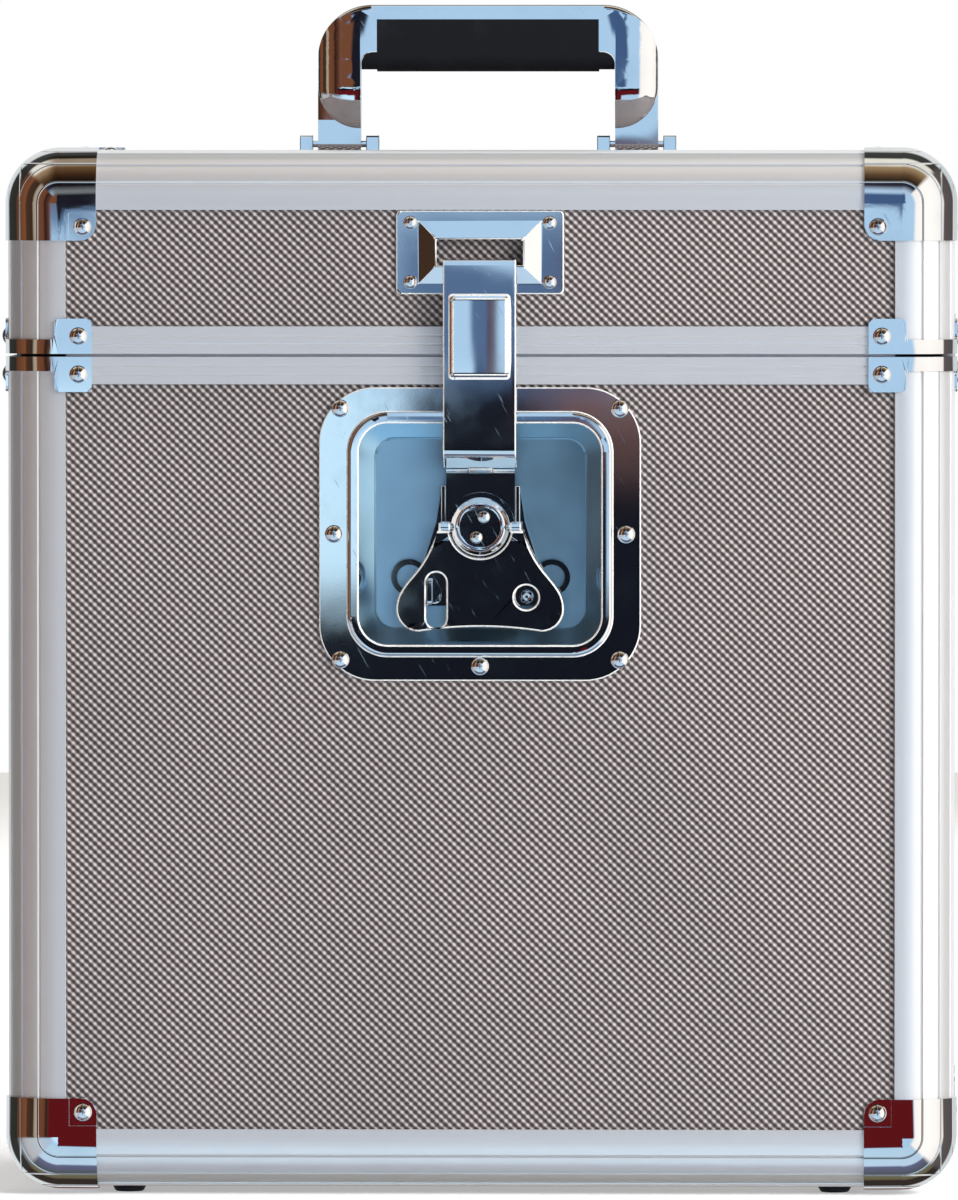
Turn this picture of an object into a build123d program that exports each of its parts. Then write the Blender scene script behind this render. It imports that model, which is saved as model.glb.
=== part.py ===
"""Record carrying case: textured board panels in rounded aluminium extrusions, a lid on
rear hinges, a swinging top handle and a twist latch in a recessed dish.

+X is to the right, +Y to the back and +Z up. The origin is on the floor, under the
middle of the whole case. Sizes are in millimetres.
"""
from build123d import *
import os
from math import cos, radians, sin

os.makedirs("parts", exist_ok=True)

# ---------------------------------------------------------------- case, driving dimensions
case_width = 356.0          # over the corner extrusions
case_depth = 250.0
body_height = 313.0         # underside of the bottom extrusions to the seam
lid_height = 77.0
seam_gap = 1.1              # daylight between the two seam extrusions

panel_thickness = 5.0
panel_recess = 1.5          # how far the panels lie under the faces of the extrusions
rail_width = 22.5           # face width of a corner extrusion
rail_radius = 20.0          # outside rounding of a corner extrusion
rail_slot_depth = 5.5       # grip of a corner extrusion on a panel
rail_lip = 1.2              # inner flange behind a panel
rail_wall = 1.5             # wall round the hollows of a corner extrusion
rail_groove = 0.9           # side of the V grooves along a corner extrusion
groove_spacing = 22.5       # degrees between the V grooves
panel_play = 0.5            # room between a panel's edge and the end of its slot
rail_end_gap = 0.1          # between the ends of two extrusions under a cap
cut_over = 1.0              # how far a cutter runs past the face that it opens

seam_rail_height = 10.3
seam_slot_depth = 6.0
tongue_width = 1.6
tongue_height = 3.1         # above the top face of the body's seam extrusion
tongue_play = 0.6
seam_line = 0.6             # side of the fine V lines on the seam extrusions

cap_length = 34.0           # reach of a corner cap along each edge
cap_sheet = 1.0
cap_tab_radius = 6.0
cap_play = 0.2

brace_start = 18.4          # along the face, from the case's corner to the brace's tab
brace_end = 32.4
brace_tab_height = 13.2
brace_band_height = 5.4
brace_tab_radius = 1.8
brace_sheet = 1.0
brace_rivet_shift = 2.0     # of the rivet outward from the middle of its tab

rivet_radius = 3.4
rivet_height = 1.8

foot_height = 2.6           # below the bottom extrusions
foot_radius = 7.5
foot_sole_radius = 5.2
foot_inset_x = 45.0         # from the case's side to a foot's centre
foot_inset_y = 30.0
foot_edge = 1.2             # rounding of the sole
pad_thickness = 3.0
pad_play = 0.6
pad_corner = 10.0

# ---------------------------------------------------------------- latch, driving dimensions
sheet = 1.2                 # pressed sheet of the dish and the keeper
dish_width = 120.8
dish_height = 110.2
dish_radius = 21.0
dish_gap = 1.05             # between the dish's plate and the seam extrusion above it
dish_drop = 2.6             # the dish's centre lies this far below the hub's axis
opening_width = 91.2
opening_height = 83.4
opening_radius = 11.0
floor_width = 79.4
floor_height = 71.6
floor_radius = 7.5
dish_depth = 12.3           # panel face to dish floor
bead_width = 4.0
bead_height = 1.6
bead_edge = 1.44            # rounding of the bead's crest
dish_play = 0.5             # between the dish's wall and the hole in the front panel
dish_rivet_inset = 8.0
dish_rivet_inset_side = 5.6

base_sheet = 1.5
guide_wall = 1.5
guide_wall_height = 3.2     # above the base plate
guide_top = 15.3            # above the hub's axis
guide_bottom = -16.0
ear_x = 26.8
ear_z = -19.1
ear_radius = 7.0
ear_hole_radius = 4.6
base_low = -30.0
base_shoulder = (2.0, 2.0)  # how far, and from what height, the plate flares outward
base_waist = -14.0
base_foot_inset = 5.0       # of the plate's foot from the ears' centres
base_screw_radius = 2.6
base_screw_head = 1.3
base_screw_x = 17.3
base_screw_z = -26.4
screw_slot_width = 0.7
screw_slot_length = 3.4

slider_sheet = 1.5
slider_half_width = 12.9
slider_low = -15.0
slider_corner = 2.0
slider_slot_corner = 2.9    # rounding of the slot that takes the cam
slider_gap = 0.3            # between the slider and the base plate, and the hub above it
crank = 3.5                 # eccentricity of the cam, half of the hook's lift
cam_radius = 4.2
cam_side_play = 0.5
cam_end_play = 0.95
journal_radius = 3.0
running_play = 0.06         # radial play of a turning or sliding pin
pin_inset = 0.2             # of a pin's ends from the faces that they come out of
fixed_play = 0.02           # radial play of a pin that doesn't turn
hub_retainer_radius = 5.0
hub_retainer_height = 1.5

collar_radius = 12.3
collar_height = 1.5
drum_radius = 10.9
rim_radius = 8.95
rim_height = 2.0
drum_top = 1.0              # the hub's rim stands this far in front of the panel face
recess_radius = 7.8
recess_depth = 1.0
hub_rivet_radius = 2.3
hub_rivet_height = 0.9
hub_rivet_reach = 4.1
hub_rivet_angle = 70.0

eye_sheet = 1.5
eye_plate_sheet = 1.2
eye_plate_radius = 12.9
eye_x = -18.9
eye_top = -19.6
eye_bottom = -29.0
eye_stand = 4.7             # of the padlock eye in front of the wing's hinge line
eye_hole_radius = 1.5
eye_hole_length = 7.0
eye_hole_edge = 1.2         # metal in front of the hole
eye_corner = 1.4
eye_root = [(-4.0, -11.0), (-11.0, -5.0)]    # where the eye's web leaves its plate
eye_web_shoulder = 2.0      # the web stands this far above the eye

wing_sheet = 1.5
wing_depth = 1.5            # of the wing's hinge line behind the panel face
wing_pin_radius = 1.0
knuckle_radius = 1.75
ear_inner = 11.1
wing_neck = 15.5            # half width at the hinge line
wing_half_width = 31.5
wing_foot = -39.3
wing_foot_rise = 1.8        # the bottom edge is hollowed by this much
wing_corner = 8.5
wing_bay_radius = 11.7      # the bay that clears the hub
# right flank from the foot's corner up to the neck, about the hub's axis
wing_flank = [(29.4, -23.6), (24.2, -17.0), (19.6, -10.0), (16.7, -3.6)]
wing_flank_end = (-0.25, 1)  # its direction at the neck
wing_slot_width = 7.5
wing_slot_length = 20.8
wing_slot_x = -16.5
wing_slot_z = -27.5
wing_hole_radius = 4.5

arm_width = 27.4
arm_sheet = 1.7
arm_stand = 7.3             # of the arm's back face in front of the panel face
arm_bend_drop = 11.6        # of the arm's turn below the top of the dish's opening
arm_pin_rise = 22.0         # of the arm's pin above the hub's axis
arm_pin_radius = 0.9
arm_knuckle_radius = 1.9
arm_knuckle_half = 4.5
arm_side_play = 0.3
arm_reach = 3.2             # the full width of the arm ends this far from its pin
arm_bend_radius = 3.0
arm_tongue_root = 0.5       # overlap of the narrow tongue with the full arm
hook_bend_radius = 1.3
hook_play = 0.3             # between the hook's tip and the keeper, at rest
hook_stand = 0.6            # of the hook's tip above the window's lower edge, at rest
boss_width = 22.9
boss_height = 31.1
boss_above_seam = 7.1       # to the boss's centre
boss_rise = 1.2
boss_taper = 50.0
boss_corner = 1.6
boss_hollow_corner = 1.0

keeper_width = 63.0
keeper_height = 31.4
keeper_gap = 0.2            # between the keeper and the top extrusion above it
keeper_radius = 1.9
keeper_base_width = 46.0
keeper_base_height = 23.4
keeper_window_width = 32.4
keeper_window_height = 9.8
keeper_rise = 5.0           # crest above the panel face
keeper_crest = 0.6          # width of the flat along the crest
keeper_rivet_inset = 5.4    # from the plate's sides
keeper_rivet_inset_z = 4.6  # from its top and bottom
keeper_rivet_radius = 2.6
keeper_rivet_height = 1.5

# ---------------------------------------------------------------- hinges and handle
hinge_x = 105.0
hinge_length = 46.0
hinge_barrel_radius = 3.0
hinge_pin_radius = 1.5
hinge_sheet = 1.5
hinge_clear = 0.4           # between the barrel and the leaves' faces
hinge_leaf = 32.0
hinge_knuckle_gap = 0.4
hinge_share = 0.3           # of the length, for each of the body's two knuckles
hinge_rivet_drop = 24.0
hinge_rivet_spread = 30.0
hinge_step_play = 0.4       # between the leaf's step and the seam extrusion's edge
hinge_step_slope = 0.6
hinge_web = 3.0             # height of the web between leaf and barrel

handle_half_width = 65.0
handle_leg_width = 16.4
handle_rise = 55.5          # above the case's top
handle_corner = 20.7
handle_pin_rise = 3.8       # of the swing axis above the top panel
handle_foot_radius = 3.4
handle_half_depth = 7.8
handle_edge = 2.0           # rounding of the long edges along the top
handle_swell_width = 16.0   # over which the swell curves away to a leg's side
handle_swell_rise = 22.0    # from the swing axis to the middle of the swell's round foot
handle_pin_radius = 1.25
grip_half_width = 42.4
grip_top_cover = 5.6
grip_height = 19.9
grip_edge = 6.0
grip_end_drop = 12.3        # from the grip's top to its rounded ends
grip_end_radius = 4.6
grip_end_rise = 0.8         # of the grip's ends above its flat underside
grip_side_play = 0.3        # between the grip's ends and the legs
grip_end_play = 0.2         # between the grip's ends and the arch above them
lug_thickness = 4.9
lug_gap = 2.0
lug_half_depth = 5.0
lug_top_rise = 3.3          # above the swing axis
lug_corner = 2.2
lug_play = 0.15
bracket_sheet = 2.0
bracket_half_depth = 14.0
bracket_screw_y = 10.0
bracket_screw_radius = 2.6
bracket_screw_head = 1.4

# ---------------------------------------------------------------- places worked out from them
panel_back = panel_recess + panel_thickness
rail_back = panel_back + rail_lip
rail_cut = rail_width + rail_end_gap
slot_end = rail_width - rail_slot_depth
panel_edge = slot_end + panel_play

bottom_z = foot_height
seam_z = bottom_z + body_height
top_z = seam_z + lid_height
body_top = seam_z - seam_gap / 2
lid_low = seam_z + seam_gap / 2

hinge_offset = hinge_sheet + hinge_clear + hinge_barrel_radius
front_reach = arm_stand + arm_sheet + boss_rise - panel_recess
rear_reach = hinge_offset + hinge_barrel_radius
middle_y = (front_reach - rear_reach) / 2
front_y = middle_y - case_depth / 2
back_y = middle_y + case_depth / 2
panel_y = front_y + panel_recess
side_x = case_width / 2

base_front = dish_depth - base_sheet
slider_back = base_front - slider_gap
slider_front = slider_back - slider_sheet
collar_back = slider_front - slider_gap
collar_front = collar_back - collar_height
arm_pin_depth = slider_back - arm_knuckle_radius
panel_top_z = top_z - panel_recess
handle_axis_z = panel_top_z + handle_pin_rise
handle_leg_inner = handle_half_width - handle_leg_width
handle_top = top_z + handle_rise

dish_top = body_top - seam_rail_height - dish_gap
hub_height = dish_top - dish_height / 2 + dish_drop
arm_bend = dish_top - (dish_height - opening_height) / 2 - arm_bend_drop
keeper_centre = top_z - rail_width - keeper_gap - keeper_height / 2
arm_top = keeper_centre - keeper_window_height / 2 + hook_stand + arm_sheet
boss_centre = seam_z + boss_above_seam


def save(piece, name):
    """Label a finished piece and write it to its own file."""
    piece.part.label = name
    export_step(piece.part, f"parts/{name}.step")


def front_plane(depth, height=hub_height):
    """Sketch plane at a depth behind the front panel's face, looked at from the front."""
    return Plane(origin=(0, panel_y + depth, height), x_dir=(1, 0, 0), z_dir=(0, -1, 0))


def side_plane(x=0.0):
    """Sketch plane across the case, with its axes along +Y and +Z."""
    return Plane(origin=(x, 0, 0), x_dir=(0, 1, 0), z_dir=(1, 0, 0))


def box_between(low, high, mode=Mode.ADD):
    """A block given by its two opposite corners."""
    size = [high[i] - low[i] for i in range(3)]
    middle = tuple((high[i] + low[i]) / 2 for i in range(3))
    with Locations(middle):
        Box(*size, mode=mode)


# ---------------------------------------------------------------- corner extrusions
def hollow_face():
    """The hollow in one arm of the corner extrusion."""
    low = rail_back + rail_wall
    high = slot_end - rail_wall
    with BuildSketch() as hollow:
        with Locations((rail_radius, rail_radius)):
            Circle(rail_radius - rail_wall)
        with Locations((low, 0)):
            Rectangle(high - low, rail_back - rail_wall, align=(Align.MIN, Align.MIN),
                      mode=Mode.INTERSECT)
    return hollow.sketch


with BuildSketch() as rail_section:
    with BuildLine():
        arm = [(rail_width, 0), (rail_width, panel_recess), (slot_end, panel_recess),
               (slot_end, panel_back), (rail_width, panel_back), (rail_width, rail_back)]
        other_arm = [(y, x) for x, y in reversed(arm)]
        Polyline((rail_radius, 0), *arm, (rail_back, rail_back), *other_arm, (0, rail_radius))
        RadiusArc((0, rail_radius), (rail_radius, 0), -rail_radius)
    make_face()
    add(hollow_face(), mode=Mode.SUBTRACT)
    add(hollow_face().mirror(Plane(origin=(0, 0, 0), z_dir=(1, -1, 0))), mode=Mode.SUBTRACT)
    with Locations((rail_radius, rail_radius)):
        with PolarLocations(rail_radius, 3, start_angle=225 - groove_spacing,
                            angular_range=2 * groove_spacing, endpoint=True):
            Rectangle(rail_groove, rail_groove, rotation=45, mode=Mode.SUBTRACT)


def corner_rail(middle, arm_a, arm_b, length):
    """A corner extrusion, from its middle, with its two arms along the given directions."""
    run = Vector(*arm_a).cross(Vector(*arm_b))
    with BuildPart() as piece:
        with BuildSketch(Plane(origin=middle, x_dir=arm_a, z_dir=run)):
            add(rail_section.sketch)
        extrude(amount=length / 2, both=True)
    return piece.part


def posts(low, high):
    """The four upright corner extrusions between two heights, by corner name."""
    made = {}
    for side, sx in (("left", -1), ("right", 1)):
        for end, sy in (("front", -1), ("back", 1)):
            middle = (sx * side_x, middle_y + sy * case_depth / 2, (low + high) / 2)
            made[f"{end}_{side}"] = corner_rail(middle, (-sx, 0, 0), (0, -sy, 0), high - low)
    return made


def edge_rails(level, inward):
    """The four level corner extrusions round the bottom or the top of the case."""
    up = (0, 0, inward)
    long_run = case_width - 2 * rail_cut
    cross_run = case_depth - 2 * rail_cut
    return [corner_rail((0, front_y, level), (0, 1, 0), up, long_run),
            corner_rail((0, back_y, level), (0, -1, 0), up, long_run),
            corner_rail((-side_x, middle_y, level), (1, 0, 0), up, cross_run),
            corner_rail((side_x, middle_y, level), (-1, 0, 0), up, cross_run)]


for corner, post in posts(bottom_z + rail_cut, body_top).items():
    with BuildPart() as body_post:
        add(post)
    save(body_post, f"body_post_{corner}")

with BuildPart() as lid_posts:
    add(posts(lid_low, top_z - rail_cut).values())
save(lid_posts, "lid_posts")

with BuildPart() as bottom_rails:
    add(edge_rails(bottom_z, 1))
save(bottom_rails, "bottom_rails")

with BuildPart() as top_rails:
    add(edge_rails(top_z, -1))
save(top_rails, "top_rails")


# ---------------------------------------------------------------- seam extrusions
def seam_section(up, tongue):
    """Section of a seam extrusion. It grips the panel on its far side from the seam."""
    middle = rail_back / 2
    with BuildSketch() as section:
        with Locations((middle, up * seam_rail_height / 2)):
            Rectangle(rail_back, seam_rail_height)
        with Locations((panel_recess + panel_thickness / 2,
                        up * (seam_rail_height - seam_slot_depth / 2))):
            Rectangle(panel_thickness, seam_slot_depth, mode=Mode.SUBTRACT)
        with Locations((0, up * seam_rail_height / 3), (0, up * seam_rail_height * 2 / 3)):
            Rectangle(seam_line, seam_line, rotation=45, mode=Mode.SUBTRACT)
        if tongue:
            with Locations((middle, tongue_height / 2)):
                Rectangle(tongue_width, tongue_height)
        else:
            groove_depth = tongue_height - seam_gap + tongue_play
            with Locations((middle, groove_depth / 2)):
                Rectangle(tongue_width + 2 * tongue_play, groove_depth, mode=Mode.SUBTRACT)
    return section.sketch


def seam_frame(level, section):
    """Four straight seam extrusions between the posts."""
    runs = [((0, front_y), (0, 1, 0), case_width), ((0, back_y), (0, -1, 0), case_width),
            ((-side_x, middle_y), (1, 0, 0), case_depth), ((side_x, middle_y), (-1, 0, 0), case_depth)]
    with BuildPart() as frame:
        for (x, y), inward, span in runs:
            across = Vector(*inward).cross(Vector(0, 0, 1))
            with BuildSketch(Plane(origin=(x, y, level), x_dir=inward, z_dir=across)):
                add(section)
            extrude(amount=span / 2 - rail_width, both=True)
    return frame


body_seam_frame = seam_frame(body_top, seam_section(-1, tongue=True))
save(body_seam_frame, "body_seam_frame")
lid_seam_frame = seam_frame(lid_low, seam_section(1, tongue=False))
save(lid_seam_frame, "lid_seam_frame")

# ---------------------------------------------------------------- panels
body_panel_low = bottom_z + panel_edge
body_panel_high = body_top - seam_rail_height + seam_slot_depth - panel_play
lid_panel_low = lid_low + seam_rail_height - seam_slot_depth + panel_play
lid_panel_high = top_z - panel_edge


def wall_panels(low, high, prefix):
    """Front, back, left and right panels between two heights, saved all but the front."""
    half_x = side_x - panel_edge
    half_y = case_depth / 2 - panel_edge
    with BuildPart() as front:
        box_between((-half_x, panel_y, low), (half_x, front_y + panel_back, high))
    with BuildPart() as back:
        box_between((-half_x, back_y - panel_back, low), (half_x, back_y - panel_recess, high))
    save(back, f"{prefix}_back_panel")
    for side, sx in (("left", -1), ("right", 1)):
        outer_x = sx * (side_x - panel_recess)
        inner_x = sx * (side_x - panel_back)
        with BuildPart() as wall:
            box_between((min(outer_x, inner_x), middle_y - half_y, low),
                        (max(outer_x, inner_x), middle_y + half_y, high))
        save(wall, f"{prefix}_{side}_panel")
    return front


def dish_outline(width, height, radius):
    """A rounded rectangle about the dish's centre."""
    with Locations((0, -dish_drop)):
        RectangleRounded(width, height, radius)


body_front = wall_panels(body_panel_low, body_panel_high, "body")
hole_margin = 2 * (sheet + dish_play)
with BuildPart() as body_front_panel:
    add(body_front.part)
    with BuildSketch(front_plane(panel_thickness)):
        dish_outline(opening_width + hole_margin, opening_height + hole_margin, opening_radius)
    extrude(amount=panel_thickness, mode=Mode.SUBTRACT)
save(body_front_panel, "body_front_panel")

lid_front = wall_panels(lid_panel_low, lid_panel_high, "lid")
save(lid_front, "lid_front_panel")

with BuildPart() as bottom_panel:
    box_between((panel_edge - side_x, front_y + panel_edge, bottom_z + panel_recess),
                (side_x - panel_edge, back_y - panel_edge, bottom_z + panel_back))
save(bottom_panel, "bottom_panel")

pad_margin = rail_back + pad_play
with BuildPart() as base_pad:
    box_between((pad_margin - side_x, front_y + pad_margin, bottom_z + rail_back),
                (side_x - pad_margin, back_y - pad_margin, bottom_z + rail_back + pad_thickness))
    fillet(base_pad.edges().filter_by(Axis.Z), pad_corner)
save(base_pad, "base_pad")

with BuildPart() as feet:
    with Locations(Location((0, middle_y, bottom_z + panel_recess), (180, 0, 0))):
        with GridLocations(case_width - 2 * foot_inset_x, case_depth - 2 * foot_inset_y, 2, 2):
            Cone(foot_radius, foot_sole_radius, foot_height + panel_recess,
                 align=(Align.CENTER, Align.CENTER, Align.MIN))
    soles = feet.faces().filter_by(Axis.Z).group_by(Axis.Z)[0]
    fillet(soles.edges(), foot_edge)
save(feet, "feet")

# ---------------------------------------------------------------- corner caps
with BuildPart() as corner_core:
    Box(cap_length + rail_width, cap_length + rail_width, cap_length + rail_width,
        align=(Align.MIN, Align.MIN, Align.MIN))
    fillet(corner_core.edges().sort_by_distance((0, 0, 0))[:3], rail_radius)

tab_start = rail_width + cap_play
with BuildPart() as cap_master:
    with Locations((-cap_sheet, -cap_sheet, -cap_sheet)):
        Box(cap_length + cap_sheet, cap_length + cap_sheet, cap_length + cap_sheet,
            align=(Align.MIN, Align.MIN, Align.MIN))
    outer_corner = (-cap_sheet, -cap_sheet, -cap_sheet)
    fillet(cap_master.edges().sort_by_distance(outer_corner)[:3], rail_radius + cap_sheet)
    add(corner_core.part, mode=Mode.SUBTRACT)
    tab_side = cap_length - tab_start
    for face in (Plane.XY, Plane.YZ, Plane.ZX):
        with BuildSketch(face):
            with Locations((tab_start, tab_start)):
                Rectangle(tab_side, tab_side, align=(Align.MIN, Align.MIN))
        extrude(amount=panel_recess)
        with BuildSketch(face.offset(panel_recess - cap_sheet)):
            with Locations((tab_start + cap_sheet, tab_start + cap_sheet)):
                Rectangle(tab_side, tab_side, align=(Align.MIN, Align.MIN))
        extrude(amount=-2 * cap_sheet, mode=Mode.SUBTRACT)
        tip = face.from_local_coords((cap_length, cap_length, panel_recess))
        tab_corner = cap_master.edges().filter_by(Axis(face.origin, face.z_dir))
        fillet(tab_corner.sort_by_distance(tip)[0], cap_tab_radius)


def turned(master, corner, flips):
    """A copy of a master made for the low left front corner, mirrored to another one."""
    copy = master
    for flip, plane in zip(flips, (Plane.YZ, Plane.XZ, Plane.XY)):
        if flip < 0:
            copy = copy.mirror(plane)
    return copy.moved(Location(corner))


four_corners = [(end, side, sx, sy) for end, sy in (("front", 1), ("back", -1))
                for side, sx in (("left", 1), ("right", -1))]


def corner_point(sx, sy, z):
    """The sharp corner of the case's outer box, before any rounding."""
    return (-sx * side_x, middle_y - sy * case_depth / 2, z)


for half, level, sz in (("body", bottom_z, 1), ("lid", top_z, -1)):
    for end, side, sx, sy in four_corners:
        with BuildPart() as corner_cap:
            add(turned(cap_master.part, corner_point(sx, sy, level), (sx, sy, sz)))
        save(corner_cap, f"{half}_corner_{end}_{side}")

# ---------------------------------------------------------------- seam braces
with BuildPart() as brace_master:
    with BuildSketch():
        with BuildLine():
            outer_radius = rail_radius + brace_sheet
            Polyline((rail_radius, -brace_sheet), (brace_end, -brace_sheet), (brace_end, 0),
                     (rail_radius, 0))
            RadiusArc((rail_radius, 0), (0, rail_radius), rail_radius)
            Polyline((0, rail_radius), (0, brace_end), (-brace_sheet, brace_end),
                     (-brace_sheet, rail_radius))
            RadiusArc((-brace_sheet, rail_radius), (rail_radius, -brace_sheet), -outer_radius)
        make_face()
    extrude(amount=brace_tab_height)
    box_between((-2 * brace_sheet, -2 * brace_sheet, brace_band_height),
                (brace_start, brace_start, brace_tab_height + cut_over), mode=Mode.SUBTRACT)
    for across in (Axis.X, Axis.Y):
        tab_edges = brace_master.edges().filter_by(across).filter_by_position(
            Axis.Z, brace_band_height, brace_tab_height, inclusive=(False, True))
        fillet(tab_edges.filter_by(lambda e: e.length < 1.5 * brace_sheet), brace_tab_radius)

for half, level, sz in (("body", body_top, -1), ("lid", lid_low, 1)):
    with BuildPart() as seam_braces:
        for end, side, sx, sy in four_corners:
            add(turned(brace_master.part, corner_point(sx, sy, level), (sx, sy, sz)))
    save(seam_braces, f"{half}_seam_braces")


# ---------------------------------------------------------------- rivets
def rivet_head(radius, height):
    """A domed rivet head that stands on its own origin."""
    with BuildPart() as head:
        with BuildSketch(Plane.XZ):
            with BuildLine():
                Polyline((0, height), (0, 0), (radius, 0))
                ball = (radius ** 2 + height ** 2) / (2 * height)
                RadiusArc((radius, 0), (0, height), -ball)
            make_face()
        revolve(axis=Axis.Z)
    return head.part


def heads_at(spots, radius=rivet_radius, height=rivet_height):
    """Rivet heads at (point, outward direction) pairs."""
    head = rivet_head(radius, height)
    with BuildPart() as group:
        for point, outward in spots:
            with Locations(Plane(origin=point, z_dir=outward).location):
                add(head)
    return group


cap_rivet = (tab_start + cap_sheet + cap_length) / 2
brace_rivet = (brace_start + brace_end) / 2 + brace_rivet_shift


def cap_spots(sx, sy, level, sz):
    """The three rivets of a corner cap."""
    x, y, z = corner_point(sx, sy, level)
    near = panel_recess - cap_sheet
    return [((x + sx * cap_rivet, y + sy * near, z + sz * cap_rivet), (0, -sy, 0)),
            ((x + sx * near, y + sy * cap_rivet, z + sz * cap_rivet), (-sx, 0, 0)),
            ((x + sx * cap_rivet, y + sy * cap_rivet, z + sz * near), (0, 0, -sz))]


def brace_spots(sx, sy, level, sz):
    """The two rivets of a seam brace."""
    x, y, z = corner_point(sx, sy, level)
    height = z + sz * brace_tab_height / 2
    return [((x + sx * brace_rivet, y - sy * brace_sheet, height), (0, -sy, 0)),
            ((x - sx * brace_sheet, y + sy * brace_rivet, height), (-sx, 0, 0))]


def leaf_spots(sz):
    """The rivets of the two hinge leaves above or below the seam."""
    z = seam_z + sz * hinge_rivet_drop
    y = back_y - panel_recess + hinge_sheet
    return [((sx * hinge_x + dx, y, z), (0, 1, 0))
            for sx in (-1, 1) for dx in (-hinge_rivet_spread / 2, hinge_rivet_spread / 2)]


body_spots = leaf_spots(-1)
lid_spots = leaf_spots(1)
for end, side, sx, sy in four_corners:
    body_spots += cap_spots(sx, sy, bottom_z, 1) + brace_spots(sx, sy, body_top, -1)
    lid_spots += cap_spots(sx, sy, top_z, -1) + brace_spots(sx, sy, lid_low, 1)
save(heads_at(body_spots), "body_rivets")
save(heads_at(lid_spots), "lid_rivets")

# ---------------------------------------------------------------- dish
with BuildPart() as latch_dish:
    with BuildSketch(front_plane(0)):
        dish_outline(dish_width, dish_height, dish_radius)
    extrude(amount=sheet)
    with BuildSketch(front_plane(-sheet)):
        dish_outline(opening_width + 2 * bead_width, opening_height + 2 * bead_width,
                     opening_radius + bead_width)
    extrude(amount=bead_height)
    bead_face = latch_dish.faces().sort_by(Axis.Y)[0]
    fillet(bead_face.edges(), bead_edge)
    with BuildSketch(front_plane(0)):
        dish_outline(opening_width + 2 * sheet, opening_height + 2 * sheet,
                     opening_radius + sheet)
    with BuildSketch(front_plane(dish_depth + sheet)):
        dish_outline(floor_width + 2 * sheet, floor_height + 2 * sheet, floor_radius + sheet)
    loft()
    with BuildSketch(front_plane(-sheet - bead_height)):
        dish_outline(opening_width, opening_height, opening_radius)
    with BuildSketch(front_plane(dish_depth)):
        dish_outline(floor_width, floor_height, floor_radius)
    loft(mode=Mode.SUBTRACT)
    with BuildSketch(front_plane(dish_depth + sheet)):
        Circle(journal_radius + running_play)
    extrude(amount=2 * sheet, mode=Mode.SUBTRACT)
save(latch_dish, "latch_dish")

dish_low = hub_height - dish_drop
rivet_dx = dish_width / 2 - dish_rivet_inset
rivet_dz = dish_height / 2 - dish_rivet_inset
side_dx = dish_width / 2 - dish_rivet_inset_side
dish_spots = [(x, dish_low + z) for x in (-rivet_dx, rivet_dx) for z in (-rivet_dz, rivet_dz)]
dish_spots += [(-side_dx, dish_low), (side_dx, dish_low),
               (0, dish_low - dish_height / 2 + dish_rivet_inset_side)]
dish_rivets = heads_at([((x, panel_y - sheet, z), (0, -1, 0)) for x, z in dish_spots])
save(dish_rivets, "dish_rivets")

# ---------------------------------------------------------------- latch base
with BuildPart() as latch_base:
    with BuildSketch(front_plane(dish_depth)):
        wall_x = slider_half_width + guide_wall + slider_gap
        foot_x = ear_x - base_foot_inset
        right = [(wall_x, guide_top), (wall_x + base_shoulder[0], base_shoulder[1]),
                 (foot_x, base_waist), (foot_x, base_low)]
        with BuildLine():
            Polyline(*right, *[(-x, z) for x, z in reversed(right)], close=True)
        make_face()
        with Locations((ear_x, ear_z), (-ear_x, ear_z)):
            Circle(ear_radius)
        with Locations((ear_x, ear_z), (-ear_x, ear_z)):
            Circle(ear_hole_radius, mode=Mode.SUBTRACT)
        Circle(journal_radius + running_play, mode=Mode.SUBTRACT)
    extrude(amount=base_sheet)
    with BuildSketch(front_plane(base_front)):
        wall_mid = slider_half_width + slider_gap + guide_wall / 2
        with Locations((wall_mid, (guide_top + guide_bottom) / 2),
                       (-wall_mid, (guide_top + guide_bottom) / 2)):
            Rectangle(guide_wall, guide_top - guide_bottom)
    extrude(amount=guide_wall_height)
save(latch_base, "latch_base")

with BuildPart() as base_screws:
    with BuildSketch(front_plane(base_front)):
        with Locations((base_screw_x, base_screw_z), (-base_screw_x, base_screw_z)):
            Circle(base_screw_radius)
    extrude(amount=base_screw_head)
    with BuildSketch(front_plane(base_front - base_screw_head)):
        with Locations((base_screw_x, base_screw_z), (-base_screw_x, base_screw_z)):
            Rectangle(screw_slot_width, screw_slot_length)
            Rectangle(screw_slot_length, screw_slot_width)
    extrude(amount=-screw_slot_width, mode=Mode.SUBTRACT)
save(base_screws, "base_screws")

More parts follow.
